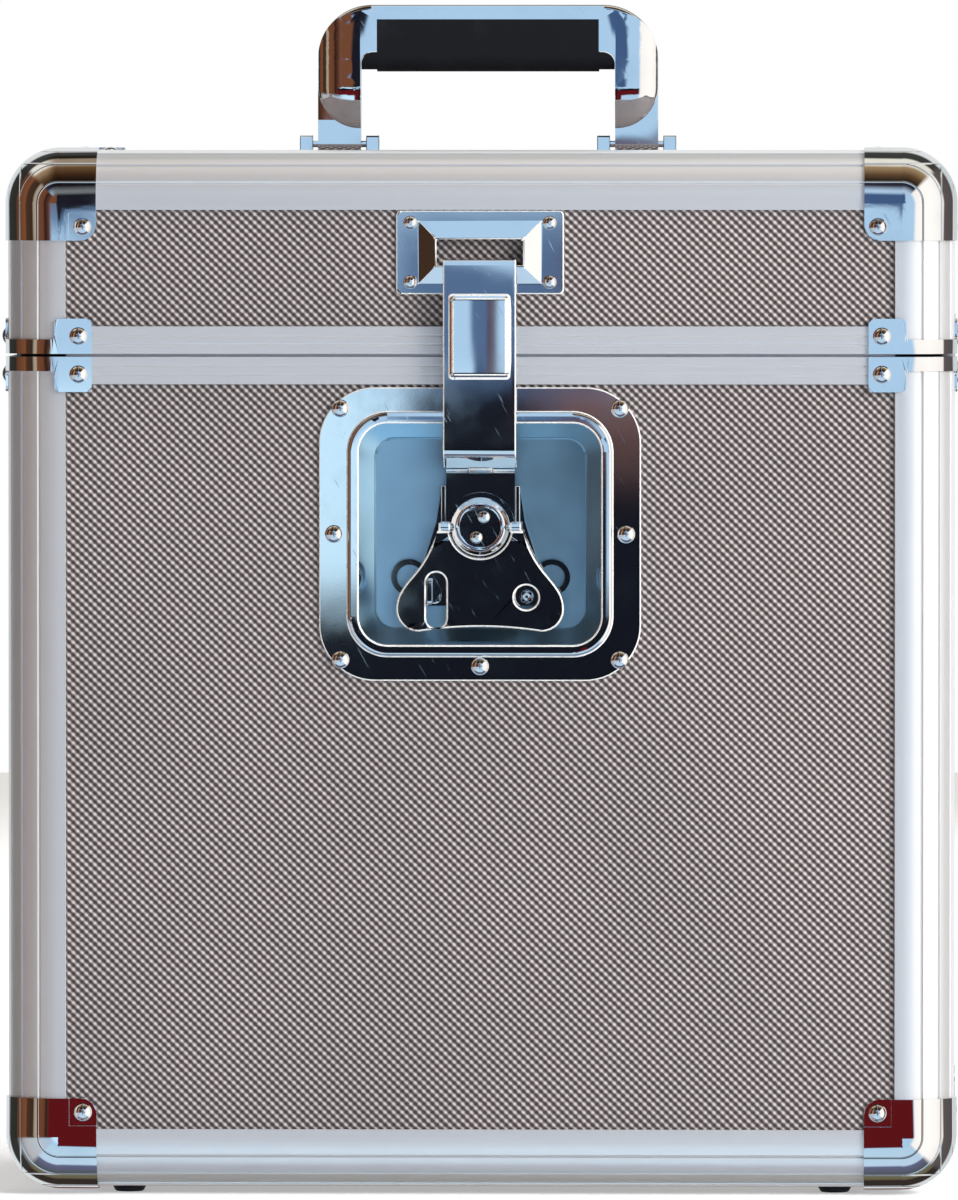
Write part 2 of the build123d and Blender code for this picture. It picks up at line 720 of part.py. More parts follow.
# ---------------------------------------------------------------- slider
with BuildPart() as slider:
    with BuildSketch(front_plane(slider_back)):
        with Locations((0, (slider_low + arm_pin_rise) / 2)):
            RectangleRounded(2 * slider_half_width, arm_pin_rise - slider_low, slider_corner)
        with Locations((0, -crank)):
            RectangleRounded(2 * (crank + cam_radius + cam_side_play),
                             2 * (cam_radius + cam_end_play), slider_slot_corner,
                             mode=Mode.SUBTRACT)
    extrude(amount=slider_sheet)
    barrel_length = slider_half_width - arm_knuckle_half - arm_side_play
    barrel_mid = (slider_half_width + arm_knuckle_half + arm_side_play) / 2
    with Locations(*[Location((sx * barrel_mid, panel_y + arm_pin_depth,
                               hub_height + arm_pin_rise), (0, 90, 0)) for sx in (-1, 1)]):
        Cylinder(arm_knuckle_radius, barrel_length)
    notch = arm_knuckle_half + arm_side_play
    box_between((-notch, panel_y + arm_pin_depth - 2 * arm_knuckle_radius,
                 hub_height + arm_pin_rise - arm_knuckle_radius - arm_side_play),
                (notch, panel_y + slider_back + cut_over,
                 hub_height + arm_pin_rise + arm_knuckle_radius), mode=Mode.SUBTRACT)
    with Locations(Location((0, panel_y + arm_pin_depth, hub_height + arm_pin_rise),
                            (0, 90, 0))):
        Cylinder(arm_pin_radius + fixed_play, 3 * slider_half_width, mode=Mode.SUBTRACT)
save(slider, "slider")

with BuildPart() as arm_pin:
    with Locations(Location((0, panel_y + arm_pin_depth, hub_height + arm_pin_rise),
                            (0, 90, 0))):
        Cylinder(arm_pin_radius, 2 * (slider_half_width - pin_inset))
save(arm_pin, "arm_pin")

# ---------------------------------------------------------------- hook arm
pin_point = Vector(panel_y + arm_pin_depth, hub_height + arm_pin_rise)
arm_line_y = panel_y - arm_stand - arm_sheet / 2
elbow = Vector(arm_line_y, arm_bend)
run_in = (pin_point - elbow).normalized()
arm_end = pin_point - run_in * arm_reach
hook_tip_y = panel_y - keeper_rise - hook_play
hook_line_z = arm_top - arm_sheet / 2
with BuildPart() as hook_arm:
    with BuildSketch(side_plane()):
        with BuildLine():
            FilletPolyline((hook_tip_y, hook_line_z), (arm_line_y, hook_line_z), elbow, arm_end,
                           radius=[hook_bend_radius, arm_bend_radius])
        trace(line_width=arm_sheet)
    extrude(amount=arm_width / 2, both=True)
    with BuildSketch(side_plane()):
        with BuildLine():
            Line(arm_end - run_in * arm_tongue_root, pin_point)
        trace(line_width=arm_sheet)
        with Locations(pin_point):
            Circle(arm_knuckle_radius)
    extrude(amount=arm_knuckle_half, both=True)
    with BuildSketch(side_plane()):
        with Locations(pin_point):
            Circle(arm_pin_radius + running_play)
    extrude(amount=arm_width, both=True, mode=Mode.SUBTRACT)
    with BuildSketch(front_plane(-arm_stand - arm_sheet, boss_centre)):
        RectangleRounded(boss_width, boss_height, boss_corner)
    extrude(amount=boss_rise, taper=boss_taper)
    with BuildSketch(front_plane(-arm_stand, boss_centre)):
        RectangleRounded(boss_width - 2 * arm_sheet, boss_height - 2 * arm_sheet,
                         boss_hollow_corner)
    extrude(amount=boss_rise, taper=boss_taper, mode=Mode.SUBTRACT)
save(hook_arm, "hook_arm")

# ---------------------------------------------------------------- hub
hub_plane = Plane(origin=(0, panel_y, hub_height), x_dir=(1, 0, 0), z_dir=(0, 0, 1))
hub_axis = Axis((0, panel_y, hub_height), (0, 1, 0))
with BuildPart() as hub_cap:
    with BuildSketch(hub_plane):
        with BuildLine():
            Polyline((0, collar_back), (collar_radius, collar_back),
                     (collar_radius, collar_front), (drum_radius, collar_front),
                     (drum_radius, rim_height - drum_top), (rim_radius, -drum_top),
                     (recess_radius, -drum_top), (recess_radius, recess_depth - drum_top),
                     (0, recess_depth - drum_top), close=True)
        make_face()
    revolve(axis=hub_axis)
    with Locations(Location((0, panel_y + wing_depth, hub_height), (0, 90, 0))):
        Cylinder(wing_pin_radius + running_play, 3 * drum_radius, mode=Mode.SUBTRACT)
save(hub_cap, "hub_cap")

with BuildPart() as hub_cam:
    with BuildSketch(front_plane(base_front - slider_gap / 2)):
        with Locations((0, -crank)):
            Circle(cam_radius)
    extrude(amount=base_front - slider_gap / 2 - collar_back)
    retainer_front = dish_depth + sheet + slider_gap
    with BuildSketch(front_plane(retainer_front)):
        Circle(journal_radius)
    extrude(amount=retainer_front - base_front + slider_gap / 2)
    with BuildSketch(front_plane(retainer_front + hub_retainer_height)):
        Circle(hub_retainer_radius)
    extrude(amount=hub_retainer_height)
save(hub_cam, "hub_cam")

rivet_x = hub_rivet_reach * cos(radians(hub_rivet_angle))
rivet_z = hub_rivet_reach * sin(radians(hub_rivet_angle))
hub_spots = [((s * rivet_x, panel_y + recess_depth - drum_top, hub_height + s * rivet_z),
              (0, -1, 0)) for s in (-1, 1)]
save(heads_at(hub_spots, hub_rivet_radius, hub_rivet_height), "hub_rivets")

with BuildPart() as padlock_eye:
    with BuildSketch(front_plane(collar_front)):
        Circle(eye_plate_radius)
        with BuildLine():
            outer_x = eye_x - eye_sheet / 2
            inner_x = eye_x + eye_sheet / 2
            Polyline(eye_root[0], (inner_x, eye_bottom), (outer_x, eye_bottom),
                     (outer_x, eye_top + eye_web_shoulder), eye_root[1], close=True)
        make_face()
        Circle(drum_radius + fixed_play, mode=Mode.SUBTRACT)
    extrude(amount=eye_plate_sheet)
    with BuildSketch(side_plane(outer_x)):
        eye_front = panel_y + wing_depth - eye_stand
        eye_back = panel_y + collar_front
        with Locations(((eye_front + eye_back) / 2, hub_height + (eye_top + eye_bottom) / 2)):
            RectangleRounded(eye_back - eye_front, eye_top - eye_bottom, eye_corner)
        with Locations((eye_front + eye_hole_radius + eye_hole_edge,
                        hub_height + (eye_top + eye_bottom) / 2)):
            SlotOverall(eye_hole_length, 2 * eye_hole_radius, rotation=90, mode=Mode.SUBTRACT)
    extrude(amount=eye_sheet)
save(padlock_eye, "padlock_eye")

# ---------------------------------------------------------------- wing
with BuildPart() as wing:
    with BuildSketch(front_plane(wing_depth + wing_sheet / 2)):
        corner_low = (wing_half_width - wing_corner, wing_foot)
        foot_curve = (corner_low[0] ** 2 + wing_foot_rise ** 2) / (2 * wing_foot_rise)
        corner_high = (wing_half_width, wing_foot + wing_corner)
        with BuildLine():
            Line((0, 0), (wing_neck, 0))
            Spline(corner_high, *wing_flank, (wing_neck, 0), tangents=[(0, 1), wing_flank_end])
            RadiusArc(corner_low, corner_high, -wing_corner)
            RadiusArc((0, wing_foot + wing_foot_rise), corner_low, foot_curve)
            Line((0, wing_foot + wing_foot_rise), (0, 0))
        make_face()
        mirror(about=Plane.YZ)
        Circle(wing_bay_radius, mode=Mode.SUBTRACT)
        with Locations((wing_slot_x, wing_slot_z)):
            SlotOverall(wing_slot_length, wing_slot_width, rotation=90, mode=Mode.SUBTRACT)
        with Locations((base_screw_x, base_screw_z)):
            Circle(wing_hole_radius, mode=Mode.SUBTRACT)
    extrude(amount=wing_sheet)
    knuckle_length = wing_neck - ear_inner
    with Locations(*[Location((sx * (wing_neck + ear_inner) / 2, panel_y + wing_depth,
                               hub_height), (0, 90, 0)) for sx in (-1, 1)]):
        Cylinder(knuckle_radius, knuckle_length)
    with Locations(Location((0, panel_y + wing_depth, hub_height), (0, 90, 0))):
        Cylinder(wing_pin_radius + fixed_play, 3 * wing_neck, mode=Mode.SUBTRACT)
save(wing, "wing")

with BuildPart() as wing_pin:
    with Locations(Location((0, panel_y + wing_depth, hub_height), (0, 90, 0))):
        Cylinder(wing_pin_radius, 2 * (wing_neck - pin_inset))
save(wing_pin, "wing_pin")

# ---------------------------------------------------------------- keeper
with BuildPart() as keeper:
    with BuildSketch(front_plane(0, keeper_centre)):
        RectangleRounded(keeper_width, keeper_height, keeper_radius)
    extrude(amount=sheet)
    crest_width = keeper_window_width + 2 * keeper_crest
    crest_height = keeper_window_height + 2 * keeper_crest
    with BuildSketch(front_plane(-sheet, keeper_centre)):
        Rectangle(keeper_base_width, keeper_base_height)
    with BuildSketch(front_plane(-keeper_rise, keeper_centre)):
        Rectangle(crest_width, crest_height)
    loft()
    with BuildSketch(front_plane(0, keeper_centre)):
        Rectangle(keeper_base_width - 2 * sheet, keeper_base_height - 2 * sheet)
    with BuildSketch(front_plane(sheet - keeper_rise, keeper_centre)):
        Rectangle(keeper_window_width, keeper_window_height)
    loft(mode=Mode.SUBTRACT)
    with BuildSketch(front_plane(0, keeper_centre)):
        Rectangle(keeper_window_width, keeper_window_height)
    extrude(amount=2 * keeper_rise, mode=Mode.SUBTRACT)
save(keeper, "keeper")

keeper_dx = keeper_width / 2 - keeper_rivet_inset
keeper_dz = keeper_height / 2 - keeper_rivet_inset_z
keeper_spots = [((x, panel_y - sheet, keeper_centre + z), (0, -1, 0))
                for x in (-keeper_dx, keeper_dx) for z in (-keeper_dz, keeper_dz)]
keeper_rivets = heads_at(keeper_spots, keeper_rivet_radius, keeper_rivet_height)
save(keeper_rivets, "keeper_rivets")


# ---------------------------------------------------------------- hinges
def hinge_leaf_group(up):
    """Both leaves above (up=1) or below (up=-1) the seam, with their knuckles.

    The leaf is cranked from the face of the seam extrusion down to the panel.
    """
    axis_y = back_y + hinge_offset
    step_z = seam_rail_height + seam_gap / 2 + hinge_step_play
    near = back_y
    low = back_y - panel_recess
    start = hinge_barrel_radius + 2 * hinge_clear
    outline = [(near, start), (near, step_z), (low, step_z + panel_recess),
               (low, hinge_leaf), (low + hinge_sheet, hinge_leaf),
               (low + hinge_sheet, step_z + panel_recess + hinge_step_slope),
               (near + hinge_sheet, step_z + hinge_step_slope), (near + hinge_sheet, start)]
    web = [(near, start), (near, start + hinge_web), (near + hinge_sheet, start + hinge_web),
           (axis_y, hinge_barrel_radius), (axis_y, 0), (near + hinge_sheet + hinge_clear, 0)]
    body_knuckle = hinge_share * hinge_length
    lid_knuckle = hinge_length - 2 * body_knuckle - 2 * hinge_knuckle_gap
    if up < 0:
        places = [(-hinge_length / 2, body_knuckle), (hinge_length / 2 - body_knuckle, body_knuckle)]
    else:
        places = [(-lid_knuckle / 2, lid_knuckle)]
    with BuildPart() as leaves:
        for centre in (-hinge_x, hinge_x):
            with BuildSketch(side_plane(centre - hinge_length / 2)):
                with BuildLine():
                    Polyline(*[(y, seam_z + up * z) for y, z in outline], close=True)
                make_face()
            extrude(amount=hinge_length)
            for start_x, length in places:
                with BuildSketch(side_plane(centre + start_x)):
                    with BuildLine():
                        Polyline(*[(y, seam_z + up * z) for y, z in web], close=True)
                    make_face()
                    with Locations((axis_y, seam_z)):
                        Circle(hinge_barrel_radius)
                    play = fixed_play if up < 0 else running_play
                    with Locations((axis_y, seam_z)):
                        Circle(hinge_pin_radius + play, mode=Mode.SUBTRACT)
                extrude(amount=length)
    return leaves


save(hinge_leaf_group(-1), "body_hinge_leaves")
save(hinge_leaf_group(1), "lid_hinge_leaves")

with BuildPart() as hinge_pins:
    with Locations(*[Location((x, back_y + hinge_offset, seam_z), (0, 90, 0))
                     for x in (-hinge_x, hinge_x)]):
        Cylinder(hinge_pin_radius, hinge_length)
save(hinge_pins, "hinge_pins")

# ---------------------------------------------------------------- top panel and brackets
inner_lug = (handle_leg_inner - lug_gap - lug_thickness, handle_leg_inner - lug_gap)
outer_lug = (handle_half_width + lug_gap, handle_half_width + lug_gap + lug_thickness)
lug_spots = [sx * (low + high) / 2 for sx in (-1, 1) for low, high in (inner_lug, outer_lug)]
with BuildPart() as lid_top_panel:
    box_between((panel_edge - side_x, front_y + panel_edge, top_z - panel_back),
                (side_x - panel_edge, back_y - panel_edge, top_z - panel_recess))
    with Locations(*[(x, middle_y, panel_top_z) for x in lug_spots]):
        Box(lug_thickness + 2 * lug_play, 2 * (lug_half_depth + lug_play), 3 * panel_thickness,
            mode=Mode.SUBTRACT)
save(lid_top_panel, "lid_top_panel")

bracket_top = top_z - panel_back
with BuildPart() as handle_brackets:
    for sx in (-1, 1):
        mid = sx * (inner_lug[0] + outer_lug[1]) / 2
        with Locations((mid, middle_y, bracket_top)):
            Box(outer_lug[1] - inner_lug[0], 2 * bracket_half_depth, bracket_sheet,
                align=(Align.CENTER, Align.CENTER, Align.MAX))
    for x in lug_spots:
        with BuildSketch(side_plane(x - lug_thickness / 2)):
            lug_top = handle_axis_z + lug_top_rise
            with Locations((middle_y, bracket_top)):
                Rectangle(2 * lug_half_depth, lug_top - bracket_top,
                          align=(Align.CENTER, Align.MIN))
        extrude(amount=lug_thickness)
    lug_tops = handle_brackets.faces().group_by(Axis.Z)[-1].edges().filter_by(Axis.X)
    fillet(lug_tops, lug_corner)
    with Locations(Location((0, middle_y, handle_axis_z), (0, 90, 0))):
        Cylinder(handle_pin_radius + running_play, 4 * handle_half_width, mode=Mode.SUBTRACT)
save(handle_brackets, "handle_brackets")

bracket_mid = (inner_lug[0] + outer_lug[1]) / 2
with BuildPart() as bracket_screws:
    with Locations(*[(sx * bracket_mid, middle_y + dy, bracket_top - bracket_sheet)
                     for sx in (-1, 1) for dy in (-bracket_screw_y, bracket_screw_y)]):
        Cylinder(bracket_screw_radius, bracket_screw_head,
                 align=(Align.CENTER, Align.CENTER, Align.MAX))
save(bracket_screws, "bracket_screws")

# ---------------------------------------------------------------- handle
grip_top = handle_top - grip_top_cover
grip_low = grip_top - grip_height
grip_end_top = grip_top - grip_end_drop
front_view = Plane(origin=(0, middle_y, 0), x_dir=(1, 0, 0), z_dir=(0, -1, 0))


def handle_outline():
    """Front outline of the whole handle, legs and all, down to the legs' feet."""
    foot_z = handle_axis_z - handle_foot_radius
    with BuildSketch(front_view) as outline:
        with Locations((0, foot_z)):
            Rectangle(2 * handle_half_width, handle_top - foot_z, align=(Align.CENTER, Align.MIN))
        fillet(outline.vertices().group_by(Axis.Y)[-1], handle_corner)
    return outline.sketch


# the upper part swells out of the flat legs: its plan curves away to the sides as a quarter
# of an ellipse, and the same curve turned about a cross axis rounds off the swell's foot
swell_middle_x = handle_half_width - handle_swell_width
swell_middle_z = handle_axis_z + handle_swell_rise
with BuildSketch() as swell_plan:
    with BuildLine():
        side_curve = EllipticalCenterArc((swell_middle_x, handle_foot_radius), handle_swell_width,
                                         handle_half_depth - handle_foot_radius, 0,
                                         arc_size=90)
        Polyline(side_curve @ 1, (0, handle_half_depth), (0, 0), (handle_half_width, 0),
                 side_curve @ 0)
    make_face()
    mirror(about=Plane.XZ)
    mirror(about=Plane.YZ)

with BuildPart() as handle_swell:
    with BuildSketch(Plane((0, middle_y, swell_middle_z))):
        add(swell_plan.sketch)
    extrude(amount=handle_top - swell_middle_z)
    for sx, outward in ((-1, Align.MAX), (1, Align.MIN)):
        with BuildSketch(Plane((0, middle_y, swell_middle_z))):
            add(swell_plan.sketch)
            with Locations((sx * swell_middle_x, 0)):
                Rectangle(handle_swell_width, 2 * handle_half_depth,
                          align=(outward, Align.CENTER), mode=Mode.INTERSECT)
        revolve(axis=Axis((sx * swell_middle_x, middle_y, swell_middle_z), (0, 1, 0)))
    with BuildPart(mode=Mode.INTERSECT) as swell_bar:
        extrude(handle_outline(), amount=handle_half_depth, both=True)
        long_edges = swell_bar.faces().filter_by(Axis.Y).edges()
        fillet(long_edges.filter_by(lambda e: e.center().Z > handle_axis_z), handle_edge)

with BuildPart() as handle_arch:
    extrude(handle_outline(), amount=handle_foot_radius, both=True)
    with BuildSketch(side_plane()):
        with Locations((middle_y, handle_axis_z)):
            Circle(handle_foot_radius)
        with Locations((middle_y, handle_axis_z)):
            Rectangle(2 * handle_foot_radius, handle_top - handle_axis_z,
                      align=(Align.CENTER, Align.MIN))
    extrude(amount=2 * handle_half_width, both=True, mode=Mode.INTERSECT)
    add(handle_swell.part)
    with BuildSketch(front_view) as handle_window:
        foot_z = handle_axis_z - handle_foot_radius
        with Locations((0, foot_z - cut_over)):
            Rectangle(2 * handle_leg_inner, grip_end_top - foot_z + cut_over,
                      align=(Align.CENTER, Align.MIN))
        fillet(handle_window.vertices().group_by(Axis.Y)[-1], grip_end_radius)
        with Locations((0, grip_end_top - cut_over)):
            Rectangle(2 * grip_half_width, grip_top - grip_end_top + cut_over,
                      align=(Align.CENTER, Align.MIN))
    extrude(amount=2 * handle_half_depth, both=True, mode=Mode.SUBTRACT)
    with Locations(Location((0, middle_y, handle_axis_z), (0, 90, 0))):
        Cylinder(handle_pin_radius + fixed_play, 4 * handle_half_width, mode=Mode.SUBTRACT)
save(handle_arch, "handle_arch")

with BuildPart() as handle_grip:
    with BuildSketch(front_view) as grip_face:
        with Locations((0, grip_low)):
            Rectangle(2 * grip_half_width, grip_height, align=(Align.CENTER, Align.MIN))
        end_low = grip_low + grip_end_rise
        end_high = grip_end_top - grip_end_play
        end_width = handle_leg_inner - grip_side_play - grip_half_width
        for sx in (-1, 1):
            with Locations((sx * (grip_half_width + end_width / 2), end_low)):
                Rectangle(end_width, end_high - end_low, align=(Align.CENTER, Align.MIN))
        end_tops = [grip_face.vertices().group_by(Axis.X)[side].sort_by(Axis.Y)[-1]
                    for side in (0, -1)]
        fillet(end_tops, grip_end_radius)
    extrude(amount=handle_half_depth, both=True)
    low_edges = handle_grip.edges().filter_by(Axis.X).group_by(Axis.Z)[0]
    fillet(low_edges, grip_edge)
save(handle_grip, "handle_grip")

with BuildPart() as handle_pins:
    with Locations(*[Location((sx * bracket_mid, middle_y, handle_axis_z), (0, 90, 0))
                     for sx in (-1, 1)]):
        Cylinder(handle_pin_radius, outer_lug[1] - inner_lug[0] - 2 * pin_inset)
save(handle_pins, "handle_pins")
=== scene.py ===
"""Finishes, soft edges, light and camera for a record carrying case.

Every size is in metres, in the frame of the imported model: +X right, +Y back, +Z up.
"""
import math

import bpy
from bpy.props import FloatProperty, FloatVectorProperty, PointerProperty
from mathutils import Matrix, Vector


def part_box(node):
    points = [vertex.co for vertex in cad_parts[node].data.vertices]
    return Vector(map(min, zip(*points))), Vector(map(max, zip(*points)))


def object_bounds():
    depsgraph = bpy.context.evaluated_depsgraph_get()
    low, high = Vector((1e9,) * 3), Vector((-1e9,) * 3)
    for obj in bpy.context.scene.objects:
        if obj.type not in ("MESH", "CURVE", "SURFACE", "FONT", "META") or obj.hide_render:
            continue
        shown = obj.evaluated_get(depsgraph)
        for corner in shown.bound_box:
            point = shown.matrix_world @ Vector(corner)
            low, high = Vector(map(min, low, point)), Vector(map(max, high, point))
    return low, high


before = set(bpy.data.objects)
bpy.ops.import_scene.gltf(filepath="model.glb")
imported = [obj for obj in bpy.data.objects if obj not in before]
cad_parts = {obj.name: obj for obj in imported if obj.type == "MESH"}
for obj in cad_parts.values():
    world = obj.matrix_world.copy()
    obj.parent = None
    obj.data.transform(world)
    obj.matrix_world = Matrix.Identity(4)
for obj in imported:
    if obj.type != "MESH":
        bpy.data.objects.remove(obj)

bl_info = {
    "name": "Record carrying case",
    "version": (1, 0, 0),
    "blender": (4, 5, 0),
    "location": "3D View > Sidebar > Record case",
    "description": "Gives a record carrying case its finishes, light and camera",
    "category": "Object",
}

MM = 0.001
CAD_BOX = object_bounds()

# ---------------------------------------------------------------- places taken from the frame
FRONT_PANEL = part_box("body_front_panel")
PANEL_FACE_Y = FRONT_PANEL[0].y                 # front face of the front panel
TOP_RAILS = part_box("top_rails")
CASE_HALF_WIDTH = TOP_RAILS[1].x
CASE_MIDDLE_Y = (TOP_RAILS[0].y + TOP_RAILS[1].y) / 2
RAIL_WIDTH = TOP_RAILS[1].z - TOP_RAILS[0].z
SWELL_BOTTOM_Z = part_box("handle_arch")[1].z - 44 * MM
LOW_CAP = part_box("body_corner_front_right")     # corner caps at their outer faces
HIGH_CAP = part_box("lid_corner_back_right")
STRAP_FRONT_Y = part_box("hook_arm")[0].y         # front of the strap's raised boss
DISH_FLOOR_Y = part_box("latch_base")[1].y        # the latch base lies on the dish's floor

CAP_RADIUS = 21 * MM             # outside rounding of a corner cap
LINE_ANGLES = (math.radians(22.5), math.radians(45.0))      # as the extrusions' grooves
LINE_WIDTH = 0.45 * MM
LINE_HEIGHT = 0.25 * MM
SWELL_START = 56 * MM            # from the middle to where the handle's corners swell
SWELL_TURN = 26.0                # how fast they turn away, in radians a metre
BOSS_CROWN = 0.85                # how fast the strap's boss turns away, in radians a metre

EXTRUSION_EDGE = 0.12 * MM       # rounding of the extrusions' edges
GRIP_EDGE = 0.5 * MM
SHARP_EDGE = math.radians(32.0)              # edges that turn by more are rounded
SHARP_TURNED_EDGE = math.radians(45.0)       # the same on rivets, pins and screws
# Metallic share of the corner caps' rounded edges, whose pale colour is a painted highlight
CAP_RIM_METALLIC = 0.8
BOSS_SKIN = 0.15 * MM            # what lies this near the strap's front is its boss
FLOOR_SKIN = 0.3 * MM            # and this near the latch base is the dish's floor
FLOOR_ROUND = 3 * MM             # height of the rounding between the dish's floor and wall
ARCH_MIDDLE = 2 * MM             # half the depth of the handle that isn't its front or back

# Noise in the finishes, in bumps to a metre
SKIN_CLOUDS = 14.0
SKIN_GRAIN = 2600.0
FELT_FIBRES = 900.0
METAL_CLOUDS = 9.0
LINES_ALONG = 4.0                # die lines along an extrusion, where they hardly change
PLATE_WAVES = 38.0
PLATE_SMUDGES = 75.0
PLATE_PEEL = 1300.0
FROST_CLOUDS = 16.0
FROST_GRAIN = 1500.0
RIM_RUB = 260.0
RUBBER_GRAIN = 1800.0
RUBBER_WEAR = 60.0
FOAM_PORES = 700.0
FLOOR_CLOUDS = 3.0

# Depth of their relief
SKIN_GRAIN_DEPTH = 0.02 * MM
DIE_LINE_DEPTH = 0.012 * MM
FROST_DEPTH = 0.03 * MM
RUBBER_GRAIN_DEPTH = 0.05 * MM
FOAM_PORE_DEPTH = 0.4 * MM
WAVE_STRENGTH = 0.05             # of the bump that lays the slow waves

# How far along a diamond's height its three tones lie: painted shade in the grooves, darker
# flanks, a painted highlight on the tops
GROOVE_AT, FLANK_AT, CREST_AT = 0.05, 0.5, 0.98

# Smooth steps through noise (from, to)
SMUDGED = (0.45, 0.75)           # clean plating to a smudge
SCRATCHED = (0.68, 0.74)         # clean plating to a hair scratch
RUBBED = (0.35, 0.75)            # tumbled edge to bare plating
WORN = (0.5, 0.8)                # new rubber to rubber with wear

# Brightness, as a share of the finish's own colour
SKIN_DARKEST = 0.86
SKIN_LIFT = 0.28                 # from the skin's darkest cloud to its lightest
DUSTY = 0.9                      # the darker streaks of an extrusion
TARNISHED = 0.9                  # smudges in the plating
# painted shade: the share of the dish floor's colour left at its right
FROST_SHADED = 0.42
FROST_RIM = 0.7                  # edges down in the dish
RUBBER_WORN = 2.0
# painted shade down in the foam's pores
FOAM_PORE_SHADE = 0.4
PAPER_DARKEST = 0.98

# Roughness, or what is added to it
GROOVE_ROUGHNESS = 0.18
GRAIN_ROUGHNESS = 0.08
FELT_ROUGHNESS = 0.4
STREAK_ROUGHNESS = 0.12
SMUDGE_ROUGHNESS = 0.014
SCRATCH_ROUGHNESS = 0.05
RUBBED_ROUGHNESS = 0.15
DISH_RIM_ROUGHNESS = 0.2
RUBBER_ROUGHNESS = 0.55
RUBBER_GRAIN_ROUGHNESS = 0.15
RUBBER_POLISH = 0.1              # what wear takes off it
FOAM_ROUGHNESS = 0.95
PAPER_ROUGHNESS = 0.9

GRAIN_SHARE = 0.16               # of the grain in a diamond's height
STREAK_SHARE = 0.6               # of the die lines in an extrusion's tone, the rest is clouds
FROST_SHADE_SLOPE = 8.0                # how fast painted shade darkens the dish's floor to the right, a metre
FROST_MOTTLE = 1.6               # how much its clouds change that
RUBBER_SPECULAR = 0.2
SEAM_REACH = 0.001 * MM          # points of a CAD mesh this near each other are one

CORNERS = ("front_left", "front_right", "back_left", "back_right")


# ---------------------------------------------------------------- shader maths
class Wire:
    """A socket of a node tree that takes part in sums and products like a number."""

    def __init__(self, tree, socket=None):
        self.tree = tree
        self.socket = socket

    def node(self, kind, settings=None, sockets=None, output=0):
        """Add a node: its settings first, then the values or links of its sockets."""
        made = self.tree.nodes.new(kind)
        for name, value in (settings or {}).items():
            if name == "stops":
                ramp = made.color_ramp.elements
                while len(ramp) < len(value):
                    ramp.new(0.5)
                for stop, (place, colour) in zip(ramp, value):
                    stop.position = place
                    stop.color = colour
            else:
                setattr(made, name, value)
        for name, value in (sockets or {}).items():
            if isinstance(value, Wire):
                self.tree.links.new(value.socket, made.inputs[name])
            else:
                made.inputs[name].default_value = value
        return Wire(self.tree, made.outputs[output])

    def maths(self, operation, *others):
        """A Math node on this wire and others or plain numbers."""
        return self.node("ShaderNodeMath", {"operation": operation},
                         dict(enumerate((self, *others))))

    def __add__(self, other):
        return self.maths("ADD", other)

    def __radd__(self, other):
        return self.maths("ADD", other)

    def __sub__(self, other):
        return self.maths("SUBTRACT", other)

    def __rsub__(self, other):
        return self.node("ShaderNodeMath", {"operation": "SUBTRACT"}, {0: other, 1: self})

    def __mul__(self, other):
        return self.maths("MULTIPLY", other)

    def __rmul__(self, other):
        return self.maths("MULTIPLY", other)

    def __truediv__(self, other):
        return self.maths("DIVIDE", other)

    def __gt__(self, other):
        return self.maths("GREATER_THAN", other)

    def __lt__(self, other):
        return self.maths("LESS_THAN", other)

    def __abs__(self):
        return self.maths("ABSOLUTE")

    def least(self, other):
        """The smaller of two values."""
        return self.maths("MINIMUM", other)

    def most(self, other):
        """The larger of two values."""
        return self.maths("MAXIMUM", other)

    def step(self, low, high):
        """A smooth step from 0 at low to 1 at high. Low may be above high."""
        reach = {"Value": self, "From Min": low, "From Max": high}
        return self.node("ShaderNodeMapRange", {"interpolation_type": "SMOOTHSTEP"}, reach)

    def mixed(self, low, high):
        """A colour between two, with this wire as the share of the second."""
        return self.node("ShaderNodeMix", {"data_type": "RGBA"}, {0: self, 6: low, 7: high}, 2)

    def parts(self):
        """The three parts of a vector."""
        split = self.node("ShaderNodeSeparateXYZ", None, {0: self}).socket.node
        return [Wire(self.tree, output) for output in split.outputs]

    def vector(self, x, y, z):
        """A vector from three values."""
        return self.node("ShaderNodeCombineXYZ", None, {0: x, 1: y, 2: z})

    def noise(self, scale, detail=2.0, roughness=0.5):
        """Noise from 0 to 1 along this vector, with this many bumps to a metre."""
        return self.node("ShaderNodeTexNoise", None,
                         {"Vector": self, "Scale": scale, "Detail": detail,
                          "Roughness": roughness})


def colour(rgb):
    """A colour with full opacity."""
    return (*rgb, 1.0)


def shade(rgb, share):
    """A colour with full opacity and this share of its brightness."""
    return colour([share * part for part in rgb])


def new_material(name):
    """An empty material: its wire, its Principled shader and its object coordinates."""
    material = bpy.data.materials.new(name)
    material.use_nodes = True
    tree = material.node_tree
    tree.nodes.clear()
    wire = Wire(tree)
    shader = wire.node("ShaderNodeBsdfPrincipled").socket.node
    end = tree.nodes.new("ShaderNodeOutputMaterial")
    tree.links.new(shader.outputs[0], end.inputs["Surface"])
    place = wire.node("ShaderNodeTexCoord", None, None, "Object")
    return material, wire, shader, place


def feed(shader, **sockets):
    """Set or link the shader's sockets, named with underscores for spaces."""
    for name, value in sockets.items():
        target = shader.inputs[name.replace("_", " ").title()]
        if isinstance(value, Wire):
            value.tree.links.new(value.socket, target)
        else:
            target.default_value = value


def bumped(wire, height, distance, strength=1.0, under=None):
    """A Bump node of this height in metres."""
    sockets = {"Height": height, "Distance": distance, "Strength": strength}
    if under is not None:
        sockets["Normal"] = under
    return wire.node("ShaderNodeBump", None, sockets)


